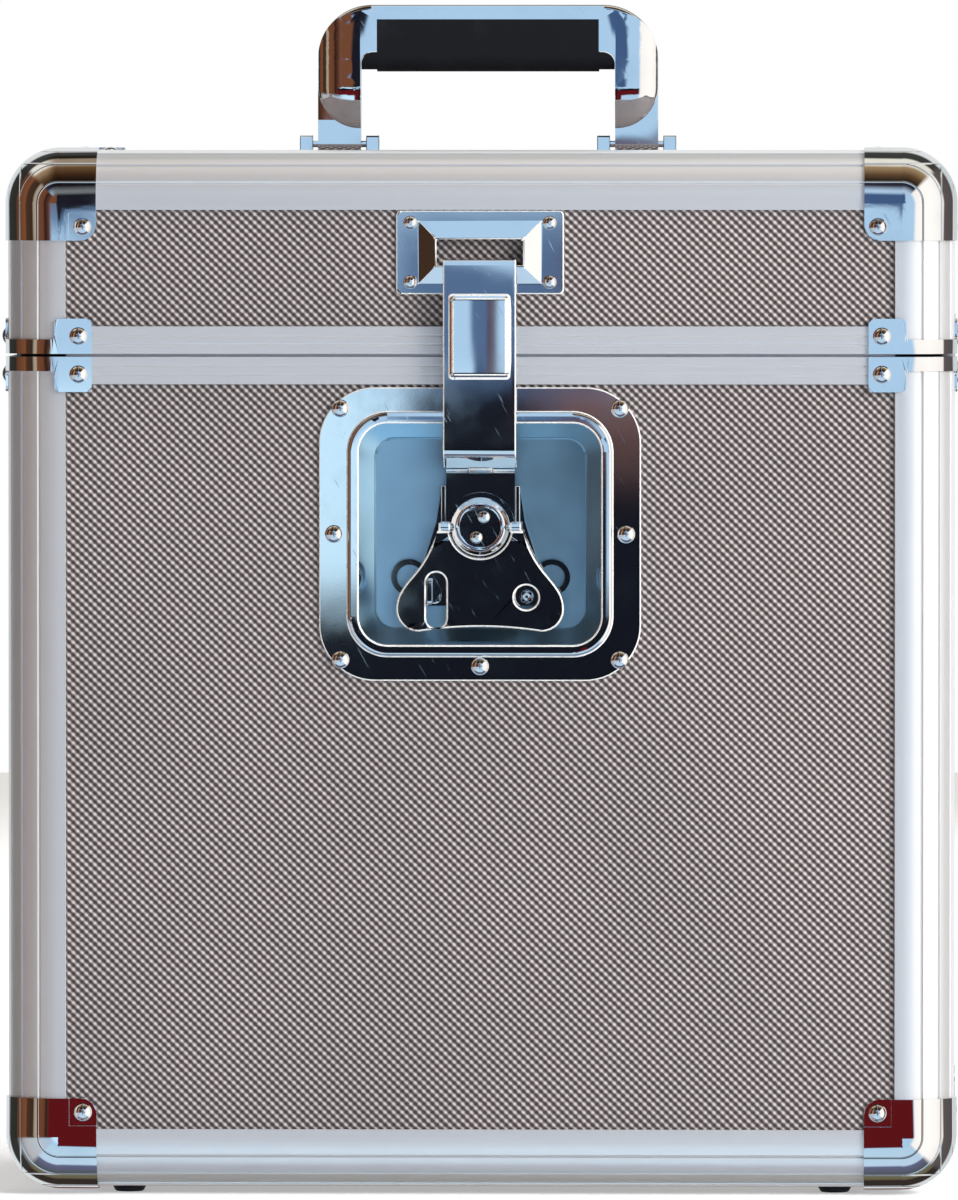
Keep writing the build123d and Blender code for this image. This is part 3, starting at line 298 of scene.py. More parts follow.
# ---------------------------------------------------------------- sizes and colours to change
class BoardFinish(bpy.types.PropertyGroup):
    """The embossed skin of the board panels."""

    pitch_across: FloatProperty(
        name="Pitch across", description="From one diamond to the next along a row",
        default=3.25 * MM, subtype="DISTANCE")
    pitch_up: FloatProperty(
        name="Pitch up", description="From one row of diamonds to the next but one",
        default=3.15 * MM, subtype="DISTANCE")
    height: FloatProperty(
        name="Height", description="Of a diamond above the grooves between them",
        default=0.3 * MM, subtype="DISTANCE")
    # The three colours below paint light and shade by a diamond's height: a painted highlight on
    # the tops, darker flanks, painted shade in the grooves
    crest_highlight: FloatVectorProperty(
        name="Crest", description="Colour on top of the diamonds",
        default=(0.56, 0.51, 0.515), subtype="COLOR")
    flank: FloatVectorProperty(
        name="Flank", description="Colour half way down the diamonds",
        default=(0.115, 0.098, 0.099), subtype="COLOR")
    groove_shade: FloatVectorProperty(
        name="Groove", description="Colour between the diamonds",
        default=(0.03, 0.024, 0.024), subtype="COLOR")
    slant: FloatProperty(
        name="Slant", description="How far the diamonds run together down to the right",
        default=0.35, min=0.0, max=1.0, subtype="FACTOR")
    lining: FloatVectorProperty(
        name="Lining", description="Colour of the thin felt on the inside",
        default=(0.022, 0.022, 0.025), subtype="COLOR")
    roughness: FloatProperty(
        name="Roughness", description="Of the skin between highlights",
        default=0.36, min=0.0, max=1.0, subtype="FACTOR")


class MetalFinish(bpy.types.PropertyGroup):
    """The anodised extrusions and the plated fittings."""

    anodised: FloatVectorProperty(
        name="Anodised", description="Colour of the aluminium extrusions",
        default=(0.82, 0.83, 0.85), subtype="COLOR")
    anodised_metallic: FloatProperty(
        name="Anodised metallic", description="Share of bare metal under the pale oxide",
        default=0.68, min=0.0, max=1.0, subtype="FACTOR")
    anodised_roughness: FloatProperty(
        name="Anodised roughness", description="Of the aluminium extrusions",
        default=0.32, min=0.0, max=1.0, subtype="FACTOR")
    streak_width: FloatProperty(
        name="Streak width", description="Of the die lines along an extrusion",
        default=0.7 * MM, subtype="DISTANCE")
    plate: FloatVectorProperty(
        name="Plate", description="Colour of the bright plating",
        default=(0.80, 0.81, 0.83), subtype="COLOR")
    plate_roughness: FloatProperty(
        name="Plate roughness", description="Of the bright plating",
        default=0.016, min=0.0, max=1.0, subtype="FACTOR")
    plate_wave: FloatProperty(
        name="Plate waves", description="Height of the slow waves that pressing leaves",
        default=0.005 * MM, subtype="DISTANCE")
    plate_grain: FloatProperty(
        name="Plate grain", description="Height of the faint orange peel in the plating",
        default=0.0002 * MM, subtype="DISTANCE")
    # The dish's floor colour: partly the plating's own blue tint, partly a painted reflection of
    # the blue surround
    frost_tint_and_painted_sky: FloatVectorProperty(
        name="Frost", description="Colour of the dish's satin floor",
        default=(0.50, 0.80, 1.0), subtype="COLOR")
    frost_roughness: FloatProperty(
        name="Frost roughness", description="Of the dish's satin floor",
        default=0.42, min=0.0, max=1.0, subtype="FACTOR")
    # Painted highlight on the rounded edges: paler than the plating and partly diffuse, so that
    # the lamps light it; the edges are also tumbled and rougher
    rim_highlight: FloatVectorProperty(
        name="Rim", description="Colour of the tumbled edges of plated sheet",
        default=(0.93, 0.93, 0.90), subtype="COLOR")
    rim_metallic: FloatProperty(
        name="Rim metallic", description="Share of bare metal on the tumbled edges",
        default=0.4, min=0.0, max=1.0, subtype="FACTOR")
    rim_roughness: FloatProperty(
        name="Rim roughness", description="Of the tumbled edges",
        default=0.22, min=0.0, max=1.0, subtype="FACTOR")
    edge: FloatProperty(
        name="Edge", description="Rounding of the edges of pressed sheet",
        default=0.33 * MM, subtype="DISTANCE")
    sheet_edge: FloatProperty(
        name="Sheet edge", description="Rounding of the edges of the dish, keeper and strap",
        default=0.5 * MM, subtype="DISTANCE")
    wing_edge: FloatProperty(
        name="Wing edge", description="Rounding of the edges of the latch's wing",
        default=0.7 * MM, subtype="DISTANCE")


class SoftFinish(bpy.types.PropertyGroup):
    """Rubber and foam."""

    rubber: FloatVectorProperty(
        name="Rubber", description="Colour of the grip and the feet",
        default=(0.008, 0.009, 0.012), subtype="COLOR")
    foam: FloatVectorProperty(
        name="Foam", description="Colour of the pad in the bottom",
        default=(0.03, 0.03, 0.034), subtype="COLOR")


class StageSettings(bpy.types.PropertyGroup):
    """Floor, light and camera."""

    azimuth: FloatProperty(
        name="Azimuth", description="Of the camera, to the right of straight ahead",
        default=math.radians(1.47), subtype="ANGLE")
    elevation: FloatProperty(
        name="Elevation", description="Of the camera above level",
        default=math.radians(1.6), subtype="ANGLE")
    distance: FloatProperty(
        name="Distance", description="From the camera to the front of the case",
        default=6.0, subtype="DISTANCE")
    pixel: FloatProperty(
        name="Pixel", description="Size of one picture point at the front of the case",
        default=0.375 * MM, subtype="DISTANCE")
    floor: FloatVectorProperty(
        name="Floor", description="Colour of the floor",
        default=(0.8, 0.8, 0.8), subtype="COLOR")
    floor_glow: FloatProperty(
        name="Floor glow", description="Light that the lit paper of the floor gives off",
        default=0.45, min=0.0)


PICTURE = (958, 1200)        # picture points across and up
BOTTOM_MARGIN = 3            # picture points below the feet
LEFT_OFFSET = 480            # picture points from the left edge to the case's middle
SENSOR = 36.0                # millimetres along the picture's long side
FLOOR_RADIUS = 4.0
FLOOR_SIDES = 96
FARTHEST = 40.0                  # metres that the camera sees
LIGHTS = {                   # (place, side, watts, colour)
    "key_light": ((1.8, -1.3, 1.1), 1.0, 62.0, (1.0, 0.98, 0.95)),
    "top_light": ((0.5, -0.4, 2.4), 1.6, 35.0, (0.95, 0.97, 1.0)),
    "back_light": ((0.8, 2.4, 1.6), 1.6, 35.0, (1.0, 1.0, 1.0)),
}


# ---------------------------------------------------------------- materials
def board_material(settings, name, across, up, outward):
    """Skin with small raised diamonds, with a painted highlight on their tops and painted shade
    in the grooves between them. Its back, away from outward, is lined with felt.
    """
    material, wire, shader, place = new_material(name)
    axes = place.parts()
    a = axes[across] * (math.tau / settings.pitch_across)
    b = axes[up] * (math.tau / settings.pitch_up)
    lean = math.copysign(settings.slant, -outward if across == 1 else 1)
    emboss = a.maths("COSINE") * b.maths("COSINE") - (
        lean * a.maths("SINE") * b.maths("SINE"))
    cloud = place.noise(SKIN_CLOUDS, 3.0)
    grain = place.noise(SKIN_GRAIN, 2.0)
    dome = (emboss * 0.5 + 0.5 + GRAIN_SHARE * (grain - 0.5)).most(0.0).least(1.0)
    # Painted highlight on the diamonds' tops and painted shade in the grooves between them, by
    # height
    painted_light_and_shade = wire.node("ShaderNodeValToRGB", {"stops": [
        (GROOVE_AT, colour(settings.groove_shade)), (FLANK_AT, colour(settings.flank)),
        (CREST_AT, colour(settings.crest_highlight))]}, {"Fac": dome})
    tint = wire.node("ShaderNodeHueSaturation", None,
                     {"Value": SKIN_DARKEST + SKIN_LIFT * cloud, "Color": painted_light_and_shade})
    facing = wire.node("ShaderNodeTexCoord", None, None, "Normal").parts()
    inside = (facing[abs(outward) - 1] * math.copysign(1.0, outward)) < -0.5
    felt = (place.noise(FELT_FIBRES, 4.0) * 0.8 + 0.5).mixed(
        colour((0.0, 0.0, 0.0)), colour(settings.lining))
    skin = bumped(wire, dome * (1 - inside), settings.height)
    rough = settings.roughness + GROOVE_ROUGHNESS * (1 - dome) + GRAIN_ROUGHNESS * grain
    feed(shader, base_color=inside.mixed(tint, felt),
         roughness=rough + FELT_ROUGHNESS * inside,
         normal=bumped(wire, grain, SKIN_GRAIN_DEPTH, 0.5, skin))
    return material


def anodised_material(settings, name, upright):
    """Satin aluminium with fine die lines along the run of the extrusion."""
    material, wire, shader, place = new_material(name)
    x, y, z = place.parts()
    fine = 1 / settings.streak_width
    if upright:
        drawn = place.vector(x * fine, y * fine, z * LINES_ALONG)
    else:
        crosswise = abs(x) > (CASE_HALF_WIDTH - RAIL_WIDTH)
        along_x = place.vector(x * LINES_ALONG, y * fine, z * fine)
        along_y = place.vector(x * fine, y * LINES_ALONG, z * fine)
        drawn = wire.node("ShaderNodeMix", {"data_type": "VECTOR"},
                          {0: crosswise, 4: along_x, 5: along_y}, 1)
    streak = drawn.noise(1.0, 3.0, 0.6)
    cloud = place.noise(METAL_CLOUDS, 3.0)
    clean = streak * STREAK_SHARE + cloud * (1 - STREAK_SHARE)
    feed(shader, base_color=clean.mixed(shade(settings.anodised, DUSTY),
                                        colour(settings.anodised)),
         metallic=settings.anodised_metallic,
         roughness=settings.anodised_roughness + STREAK_ROUGHNESS * (streak - 0.5),
         normal=bumped(wire, streak, DIE_LINE_DEPTH, 0.6))
    return material


def pressed_lines(place):
    """Fine raised lines that carry the extrusions' grooves on round the corner caps."""
    x, y, z = place.parts()
    reach = CAP_RADIUS
    near = [(abs(x) - (HIGH_CAP[1].x - reach)) / reach,
            (abs(y - CASE_MIDDLE_Y) - (HIGH_CAP[1].y - CASE_MIDDLE_Y - reach)) / reach,
            ((z - (HIGH_CAP[1].z - reach)) / reach).most((LOW_CAP[0].z + reach - z) / reach)]
    lines = None
    for share in near:
        for angle in LINE_ANGLES:
            away = abs(share - math.cos(angle)) * (reach / math.sin(angle))
            line = away.step(LINE_WIDTH, 0.0)
            lines = line if lines is None else lines.most(line)
    return lines


def plated_material(settings, name, frosted=False, lined=False, crowned=False,
                    swollen=False):
    """Bright plating with slow pressing waves, faint smudges and hair scratches."""
    material, wire, shader, place = new_material(name)
    waves = place.noise(PLATE_WAVES, 1.5)
    smudge = place.noise(PLATE_SMUDGES, 4.0).step(*SMUDGED)
    x, y, z = place.parts()
    # Noise that changes fast across the scratches and slowly along them, leaning as they do
    hairs = place.vector(x * 900.0 + z * 500.0, y * 700.0, z * 60.0 - x * 30.0).noise(1.0, 2.0)
    hair = hairs.step(*SCRATCHED)
    rough = settings.plate_roughness + SMUDGE_ROUGHNESS * smudge + SCRATCH_ROUGHNESS * hair
    normal = bumped(wire, waves, settings.plate_wave / WAVE_STRENGTH, WAVE_STRENGTH)
    normal = bumped(wire, place.noise(PLATE_PEEL, 2.0), settings.plate_grain, 0.5, normal)
    if lined:
        normal = bumped(wire, pressed_lines(place), LINE_HEIGHT, 1.0, normal)
    if crowned:
        boss = y < (STRAP_FRONT_Y + BOSS_SKIN)
        sag = x * x * boss * (-BOSS_CROWN / 2)
        normal = bumped(wire, sag, 1.0, 1.0, normal)
    if swollen:
        outward = (abs(x) - SWELL_START).most(0.0)
        front = (y < (CASE_MIDDLE_Y - ARCH_MIDDLE)) * (z > SWELL_BOTTOM_Z)
        normal = bumped(wire, outward * outward * front * (-SWELL_TURN / 2), 1.0, 1.0, normal)
    if frosted:
        floor = y > (DISH_FLOOR_Y - FLOOR_SKIN)
        rough = rough + settings.frost_roughness * floor
        normal = bumped(wire, place.noise(FROST_GRAIN, 2.0) * floor, FROST_DEPTH, 0.6, normal)
    tint = (smudge * 0.5).mixed(colour(settings.plate), shade(settings.plate, TARNISHED))
    if frosted:
        # Painted shade: the dish's floor darkens to the right, mottled by clouds; its blue is
        # partly a painted reflection of the blue surround
        cloud = place.noise(FROST_CLOUDS, 3.0)
        tone = (x * FROST_SHADE_SLOPE + 0.5 + FROST_MOTTLE * (cloud - 0.5)).step(0.0, 1.0)
        satin = tone.mixed(colour(settings.frost_tint_and_painted_sky), shade(settings.frost_tint_and_painted_sky, FROST_SHADED))
        tint = floor.mixed(tint, satin)
    feed(shader, base_color=tint, metallic=1.0, roughness=rough, normal=normal)
    return material


def rim_material(settings, name, metallic):
    """Tumbled edges of plated sheet with a painted highlight that makes them brighter than the
    flats, and satin down in the dish.
    """
    material, wire, shader, place = new_material(name)
    rub = place.noise(RIM_RUB, 3.0).step(*RUBBED)
    deep = place.parts()[1] > (DISH_FLOOR_Y - FLOOR_ROUND)
    # Painted highlight on the rounded edges, rubbed through to bare plating in places
    rim_highlight_and_wear = rub.mixed(colour(settings.rim_highlight), colour(settings.plate))
    rough = settings.rim_roughness + RUBBED_ROUGHNESS * rub + DISH_RIM_ROUGHNESS * deep
    feed(shader, base_color=deep.mixed(rim_highlight_and_wear, shade(settings.frost_tint_and_painted_sky, FROST_RIM)),
         metallic=metallic + (1 - metallic) * deep, roughness=rough)
    return material


def rubber_material(settings, name):
    """Matte black rubber with a fine moulded grain."""
    material, wire, shader, place = new_material(name)
    grain = place.noise(RUBBER_GRAIN, 3.0)
    wear = place.noise(RUBBER_WEAR, 3.0).step(*WORN)
    shader.inputs["Specular IOR Level"].default_value = RUBBER_SPECULAR
    feed(shader, base_color=wear.mixed(colour(settings.rubber),
                                       shade(settings.rubber, RUBBER_WORN)),
         roughness=RUBBER_ROUGHNESS + RUBBER_GRAIN_ROUGHNESS * grain - RUBBER_POLISH * wear,
         normal=bumped(wire, grain, RUBBER_GRAIN_DEPTH, 0.5))
    return material


def foam_material(settings, name):
    """Open foam with small pores, with painted shade down in them."""
    material, wire, shader, place = new_material(name)
    pores = place.noise(FOAM_PORES, 4.0, 0.7)
    # Painted shade in the pores, where the bump is lowest
    feed(shader, base_color=pores.mixed(shade(settings.foam, FOAM_PORE_SHADE),
                                        colour(settings.foam)),
         roughness=FOAM_ROUGHNESS, normal=bumped(wire, pores, FOAM_PORE_DEPTH, 0.9))
    return material


def paint(nodes, material):
    """Give CAD nodes a material in their own slots."""
    for name in nodes:
        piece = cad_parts[name]
        for slot in piece.material_slots:
            slot.link = "OBJECT"
            slot.material = material


def soften(nodes, width, segments=2, angle=SHARP_EDGE, rim_highlight=None, full=False):
    """Weld a CAD mesh's seams, round its sharp edges and keep its flats flat.

    The rounded edges get the edge finish with its painted highlight, where there is one. Full
    edges keep their width where they would otherwise be narrowed.
    """
    for name in nodes:
        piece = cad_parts[name]
        weld = piece.modifiers.new("weld", "WELD")
        weld.merge_threshold = SEAM_REACH
        bevel = piece.modifiers.new("edges", "BEVEL")
        bevel.width = width
        bevel.segments = segments
        bevel.limit_method = "ANGLE"
        bevel.use_clamp_overlap = not full
        bevel.angle_limit = angle
        bevel.face_strength_mode = "FSTR_ALL"
        if rim_highlight is not None:
            piece.data.materials.append(None)
            bevel.material = len(piece.material_slots) - 1
            piece.material_slots[-1].link = "OBJECT"
            piece.material_slots[-1].material = rim_highlight
        flats = piece.modifiers.new("flats", "WEIGHTED_NORMAL")
        flats.use_face_influence = True
        piece.data.polygons.foreach_set("use_smooth", [True] * len(piece.data.polygons))


# ---------------------------------------------------------------- pieces and stage
class RECORDCASE_OT_boards(bpy.types.Operator):
    """Give the board panels their embossed skin and felt lining"""

    bl_idname = "record_case.boards"
    bl_label = "Finish board panels"

    def execute(self, context):
        finish = context.scene.record_case_board
        walls = {"front": (0, 2, -2), "back": (0, 2, 2), "left": (1, 2, -1), "right": (1, 2, 1)}
        for side, (across, up, outward) in walls.items():
            skin = board_material(finish, f"board_skin_{side}", across, up, outward)
            paint([f"body_{side}_panel", f"lid_{side}_panel"], skin)
        paint(["lid_top_panel"], board_material(finish, "board_skin_top", 0, 1, 3))
        paint(["bottom_panel"], board_material(finish, "board_skin_bottom", 0, 1, -3))
        return {"FINISHED"}


class RECORDCASE_OT_extrusions(bpy.types.Operator):
    """Give the aluminium extrusions their satin finish"""

    bl_idname = "record_case.extrusions"
    bl_label = "Finish extrusions"

    def execute(self, context):
        finish = context.scene.record_case_metal
        uprights = [f"body_post_{corner}" for corner in CORNERS] + ["lid_posts"]
        levels = ["bottom_rails", "top_rails", "body_seam_frame", "lid_seam_frame"]
        paint(uprights, anodised_material(finish, "anodised_upright", True))
        paint(levels, anodised_material(finish, "anodised_level", False))
        soften(uprights + levels, EXTRUSION_EDGE, 1)
        return {"FINISHED"}


class RECORDCASE_OT_fittings(bpy.types.Operator):
    """Plate the corner caps, braces, hinges, rivets, latch and handle"""

    bl_idname = "record_case.fittings"
    bl_label = "Finish fittings"

    def execute(self, context):
        finish = context.scene.record_case_metal
        caps = [f"{half}_corner_{corner}" for half in ("body", "lid") for corner in CORNERS]
        sheets = caps + ["body_seam_braces", "lid_seam_braces", "handle_brackets",
                         "body_hinge_leaves", "lid_hinge_leaves"]
        turned = ["body_rivets", "lid_rivets", "dish_rivets", "keeper_rivets", "hub_rivets",
                  "base_screws", "bracket_screws", "hinge_pins", "handle_pins", "wing_pin",
                  "arm_pin", "hub_cam"]
        plating = plated_material(finish, "bright_plate")
        paint(sheets[len(caps):] + turned + ["keeper", "wing", "slider", "latch_base",
                                             "padlock_eye", "hub_cap"], plating)
        paint(["handle_arch"], plated_material(finish, "handle_plate", swollen=True))
        paint(["hook_arm"], plated_material(finish, "strap_plate", crowned=True))
        paint(caps, plated_material(finish, "cap_plate", lined=True))
        paint(["latch_dish"], plated_material(finish, "dish_plate", frosted=True))
        # The rounded edges get a painted highlight
        rim_highlight = rim_material(finish, "rim_painted_highlight", finish.rim_metallic)
        soften(sheets, finish.edge, rim_highlight=rim_material(finish, "cap_rim_painted_highlight", CAP_RIM_METALLIC))
        soften(["slider", "latch_base", "padlock_eye", "hub_cap"], finish.edge, rim_highlight=rim_highlight)
        soften(turned, finish.edge / 4, 1, SHARP_TURNED_EDGE)
        soften(["latch_dish", "keeper", "hook_arm"], finish.sheet_edge, 3, rim_highlight=rim_highlight, full=True)
        soften(["wing"], finish.wing_edge, 3, rim_highlight=rim_highlight, full=True)
        soften(["handle_arch"], finish.edge, 3)
        return {"FINISHED"}


class RECORDCASE_OT_soft_parts(bpy.types.Operator):
    """Give the grip and the feet their rubber, and the bottom pad its foam"""

    bl_idname = "record_case.soft_parts"
    bl_label = "Finish soft parts"

    def execute(self, context):
        finish = context.scene.record_case_soft
        paint(["handle_grip", "feet"], rubber_material(finish, "black_rubber"))
        paint(["base_pad"], foam_material(finish, "foam_pad"))
        soften(["handle_grip"], GRIP_EDGE, 3)
        return {"FINISHED"}


def area_light(name, aim, place, side, power, tint):
    """A soft square light that looks at a point."""
    lamp = bpy.data.lights.new(name, "AREA")
    lamp.shape = "SQUARE"
    lamp.size = side
    lamp.energy = power
    lamp.color = tint
    holder = bpy.data.objects.new(name, lamp)
    holder.location = place
    holder.rotation_euler = (Vector(aim) - Vector(place)).to_track_quat("-Z", "Y").to_euler()
    holder.visible_glossy = False
    bpy.context.scene.collection.objects.link(holder)


# ---------------------------------------------------------------- what the bright metal mirrors
AHEAD = (0.50, 0.74, 0.98)       # colour straight ahead of the case's front

# Bands of (degrees away from straight ahead, colour) over, under and beside it
UPWARD = ((7, AHEAD), (26, (0.52, 0.70, 0.90)), (37, (0.03, 0.03, 0.05)),
          (49, (0.03, 0.02, 0.012)), (62, (0.14, 0.075, 0.035)), (80, (0.42, 0.28, 0.15)),
          (87, (0.98, 0.94, 0.82)), (103, (0.95, 0.92, 0.80)), (108, (0.05, 0.05, 0.045)),
          (128, (0.06, 0.06, 0.055)), (134, (0.85, 0.86, 0.86)))
DOWNWARD = ((7, AHEAD), (26, AHEAD), (30, (0.55, 0.78, 0.95)),
            (66, (0.60, 0.80, 0.98)), (70, (0.15, 0.16, 0.28)), (90, (0.10, 0.11, 0.12)),
            (96, (0.18, 0.18, 0.10)), (106, (0.16, 0.13, 0.08)), (111, (0.04, 0.03, 0.025)),
            (133, (0.04, 0.03, 0.025)), (138, (0.78, 0.82, 0.82)))
LEFTWARD = ((7, AHEAD), (14, (0.42, 0.52, 0.68)), (19, (0.20, 0.075, 0.035)),
            (25, (0.10, 0.04, 0.025)), (31, (0.03, 0.015, 0.012)), (35, (0.17, 0.06, 0.028)),
            (48, (0.20, 0.075, 0.035)), (51, (0.50, 0.40, 0.30)), (56, (0.45, 0.36, 0.27)),
            (60, (0.05, 0.030, 0.018)), (74, (0.08, 0.035, 0.02)), (78, (0.24, 0.085, 0.035)),
            (102, (0.12, 0.05, 0.025)), (106, (0.03, 0.03, 0.025)),
            (132, (0.04, 0.04, 0.036)), (138, (0.80, 0.84, 0.85)))
LOW_LEFTWARD = ((7, AHEAD), (30, (0.50, 0.64, 0.80)), (50, (0.60, 0.66, 0.72)),
                (80, (0.55, 0.56, 0.58)), (96, (0.30, 0.29, 0.29)), (106, (0.04, 0.04, 0.04)),
                (132, (0.04, 0.04, 0.036)), (138, (0.80, 0.84, 0.85)))
RIGHTWARD = ((7, AHEAD), (24, AHEAD), (30, (1.20, 1.15, 1.08)),
             (60, (1.30, 1.24, 1.16)), (95, (1.15, 1.08, 1.0)), (99, (0.13, 0.11, 0.11)),
             (130, (0.11, 0.09, 0.09)), (136, (0.72, 0.76, 0.76)))
BAND_BLEND = 0.12                # how softly the bands of two sides pass into each other

# Places in the surround, for each unit ahead, or along x where its name says so
MIDDLE_SIDE = 0.0256             # how far to the left the middle of the case's front mirrors
PIT_MIDDLE_X = 0.025             # how far to the left the middle of the lower dark field is
STRAP_SHIFT = 0.003              # how far the strap's dim patch reaches on over the dish
CLOUD_SCALE = 520.0              # clouds to a unit
CLOUD_DEPTH = 2.2                # how ragged the clouds' lower edges are
CLOUD_START = 120.0              # how fast the clouds close with rise

# Zones of directions, each a product of smooth steps (axis, from, to) along the axes that
# direction_axes works out
ZONES = {
    "brown_top": (("x", -0.038, -0.046), ("x", -0.45, -0.12), ("turn", 120, 112)),
    "low_left": (("z", -0.10, -0.17),),
    "column": (("from_middle_x", 0.018, 0.012), ("turn", 26, 30), ("turn", 96, 90)),
    "ahead": (("turn", 24, 16),),
    "glow": (("side", -0.028, -0.032), ("rise", -0.012, -0.017)),
    "strap_shift": (("rise", -0.0115, -0.0135),),
    "strap": (("strap_side", -0.0340, -0.0290), ("side", -0.012, -0.020),
              ("rise", -0.001, -0.006)),
    "left_cloud": (("cloud", 0.3, 0.8), ("side", -0.043, -0.048)),
    "right_cloud": (("cloud", 1.0, 1.7), ("side", -0.008, -0.002), ("side", 0.16, 0.10)),
    "soot": (("cloud", 0.95, 1.25), ("side", -0.043, -0.048)),
    "far_left": (("side", -0.10, -0.14),),
    "blush": (("side", -0.0215, -0.0190), ("side", -0.010, -0.0165),
              ("rise", -0.003, -0.007), ("rise", -0.017, -0.012)),
    "low": (("z", -0.0255, -0.0303), ("z", -0.13, -0.11), ("turn", 28, 24)),
    "pit": (("z", -0.0275, -0.0315), ("z", -0.46, -0.42), ("from_pit_x", 0.09, 0.07)),
    "right_plate": (("rise", -0.0125, -0.0165), ("side", -0.0315, -0.0285)),
    "wing": (("rise", -0.0180, -0.0205), ("side", -0.0335, -0.0312)),
    "dish": (("side", -0.006, -0.012), ("z", -0.13, -0.11)),
    "plum": (("rise", -0.023, -0.014), ("side", -0.024, -0.019)),
    "ember": (("rise", -0.050, -0.056), ("from_middle", 0.018, 0.023)),
}
SHARES = {"strap": 0.9, "left_cloud": 0.8, "blush": 0.8}       # zones that stay thinner than 1
TINTS = {"brown_top": (0.38, 0.30, 0.24), "glow": (0.70, 1.0, 1.2), "dim": (0.06, 0.12, 0.26),
         "soot": (0.012, 0.012, 0.02), "far_left": (0.20, 0.075, 0.035),
         "blush": (0.11, 0.065, 0.085), "night": (0.008, 0.010, 0.016),
         "plum": (0.21, 0.115, 0.105), "ember": (0.13, 0.009, 0.011)}


def zone(axes, name):
    """How far a direction is in a zone, from 0 to the zone's share."""
    share = None
    for axis, low, high in ZONES[name]:
        step = axes[axis].step(low, high)
        share = step if share is None else share * step
    return share * SHARES[name] if name in SHARES else share


def direction_axes(wire):
    """What the bands and zones are measured along, in the direction looked in."""
    x, y, z = wire.node("ShaderNodeTexCoord", None, None, "Generated").parts()
    ahead = y * -1
    front = ahead.most(0.001)
    side = x / front
    rise = z / front
    haze = wire.vector(x, z, 0.0).noise(CLOUD_SCALE, 4.0, 0.65)
    axes = {"x": x, "z": z, "side": side, "rise": rise,
            "turn": ahead.maths("ARCCOSINE") * (180 / math.pi),
            "off_axis": (1 - y * y).most(1e-8).maths("SQRT"),
            "from_middle": abs(side + MIDDLE_SIDE),
            "from_middle_x": abs(x + MIDDLE_SIDE),
            "from_pit_x": abs(x + PIT_MIDDLE_X),
            "cloud": rise * CLOUD_START + haze * CLOUD_DEPTH}
    axes["strap_side"] = side - STRAP_SHIFT * zone(axes, "strap_shift")
    return axes


def band(axes, bands):
    """A colour ramp over the degrees away from straight ahead."""
    turn = axes["turn"]
    stops = [(degrees / 180, colour(tint)) for degrees, tint in bands]
    return turn.node("ShaderNodeValToRGB", {"stops": stops}, {"Fac": turn * (1 / 180)})


def bands_all_round(axes):
    """The bands over, under and beside the case, each on its own side of straight ahead."""
    x, z, off_axis = axes["x"], axes["z"], axes["off_axis"]
    beside = ((abs(x) - abs(z)) / off_axis).step(-BAND_BLEND, BAND_BLEND)
    over = (z / off_axis).step(-BAND_BLEND, BAND_BLEND)
    right = (x / off_axis).step(-BAND_BLEND, BAND_BLEND)
    above = x.node("ShaderNodeMix", {"data_type": "RGBA", "blend_type": "MULTIPLY"},
                   {0: zone(axes, "brown_top"), 6: band(axes, UPWARD),
                    7: colour(TINTS["brown_top"])}, 2)
    left = zone(axes, "low_left").mixed(band(axes, LEFTWARD), band(axes, LOW_LEFTWARD))
    upright = over.mixed(band(axes, DOWNWARD), above)
    level = right.mixed(left, band(axes, RIGHTWARD))
    column = zone(axes, "column") * (z > 0.0)
    return column.mixed(beside.mixed(upright, level), colour(AHEAD))


def sky_ahead(axes):
    """The pale sky that the flat plates mirror, with its glow, clouds and shadows."""
    sky = zone(axes, "glow").mixed(colour(AHEAD), colour(TINTS["glow"]))
    dim = zone(axes, "strap").most(zone(axes, "left_cloud")).most(zone(axes, "right_cloud"))
    sky = dim.mixed(sky, colour(TINTS["dim"]))
    soot = zone(axes, "far_left").mixed(colour(TINTS["soot"]), colour(TINTS["far_left"]))
    sky = zone(axes, "soot").mixed(sky, soot)
    return zone(axes, "blush").mixed(sky, colour(TINTS["blush"]))


def dark_field(axes, view):
    """The dark field low down that the latch and the lower caps mirror, laid over the view."""
    low = zone(axes, "low").most(zone(axes, "pit"))
    beside = zone(axes, "right_plate").most(zone(axes, "wing")) * zone(axes, "dish")
    plum = zone(axes, "plum").mixed(colour(TINTS["night"]), colour(TINTS["plum"]))
    return low.most(beside).mixed(view, zone(axes, "ember").mixed(plum, colour(TINTS["ember"])))


def studio_surround(world):
    """Sky-blue ahead with a dark field low down, a brown wall to the left, white to the right."""
    world.use_nodes = True
    tree = world.node_tree
    tree.nodes.clear()
    wire = Wire(tree)
    axes = direction_axes(wire)
    view = zone(axes, "ahead").mixed(bands_all_round(axes), sky_ahead(axes))
    view = dark_field(axes, view)
    shown = wire.node("ShaderNodeLightPath", None, None, "Is Camera Ray")
    view = shown.mixed(view, colour((1.0, 1.0, 1.0)))
    back = wire.node("ShaderNodeBackground", None, {"Color": view, "Strength": 1.0})
    end = tree.nodes.new("ShaderNodeOutputWorld")
    tree.links.new(back.socket, end.inputs["Surface"])


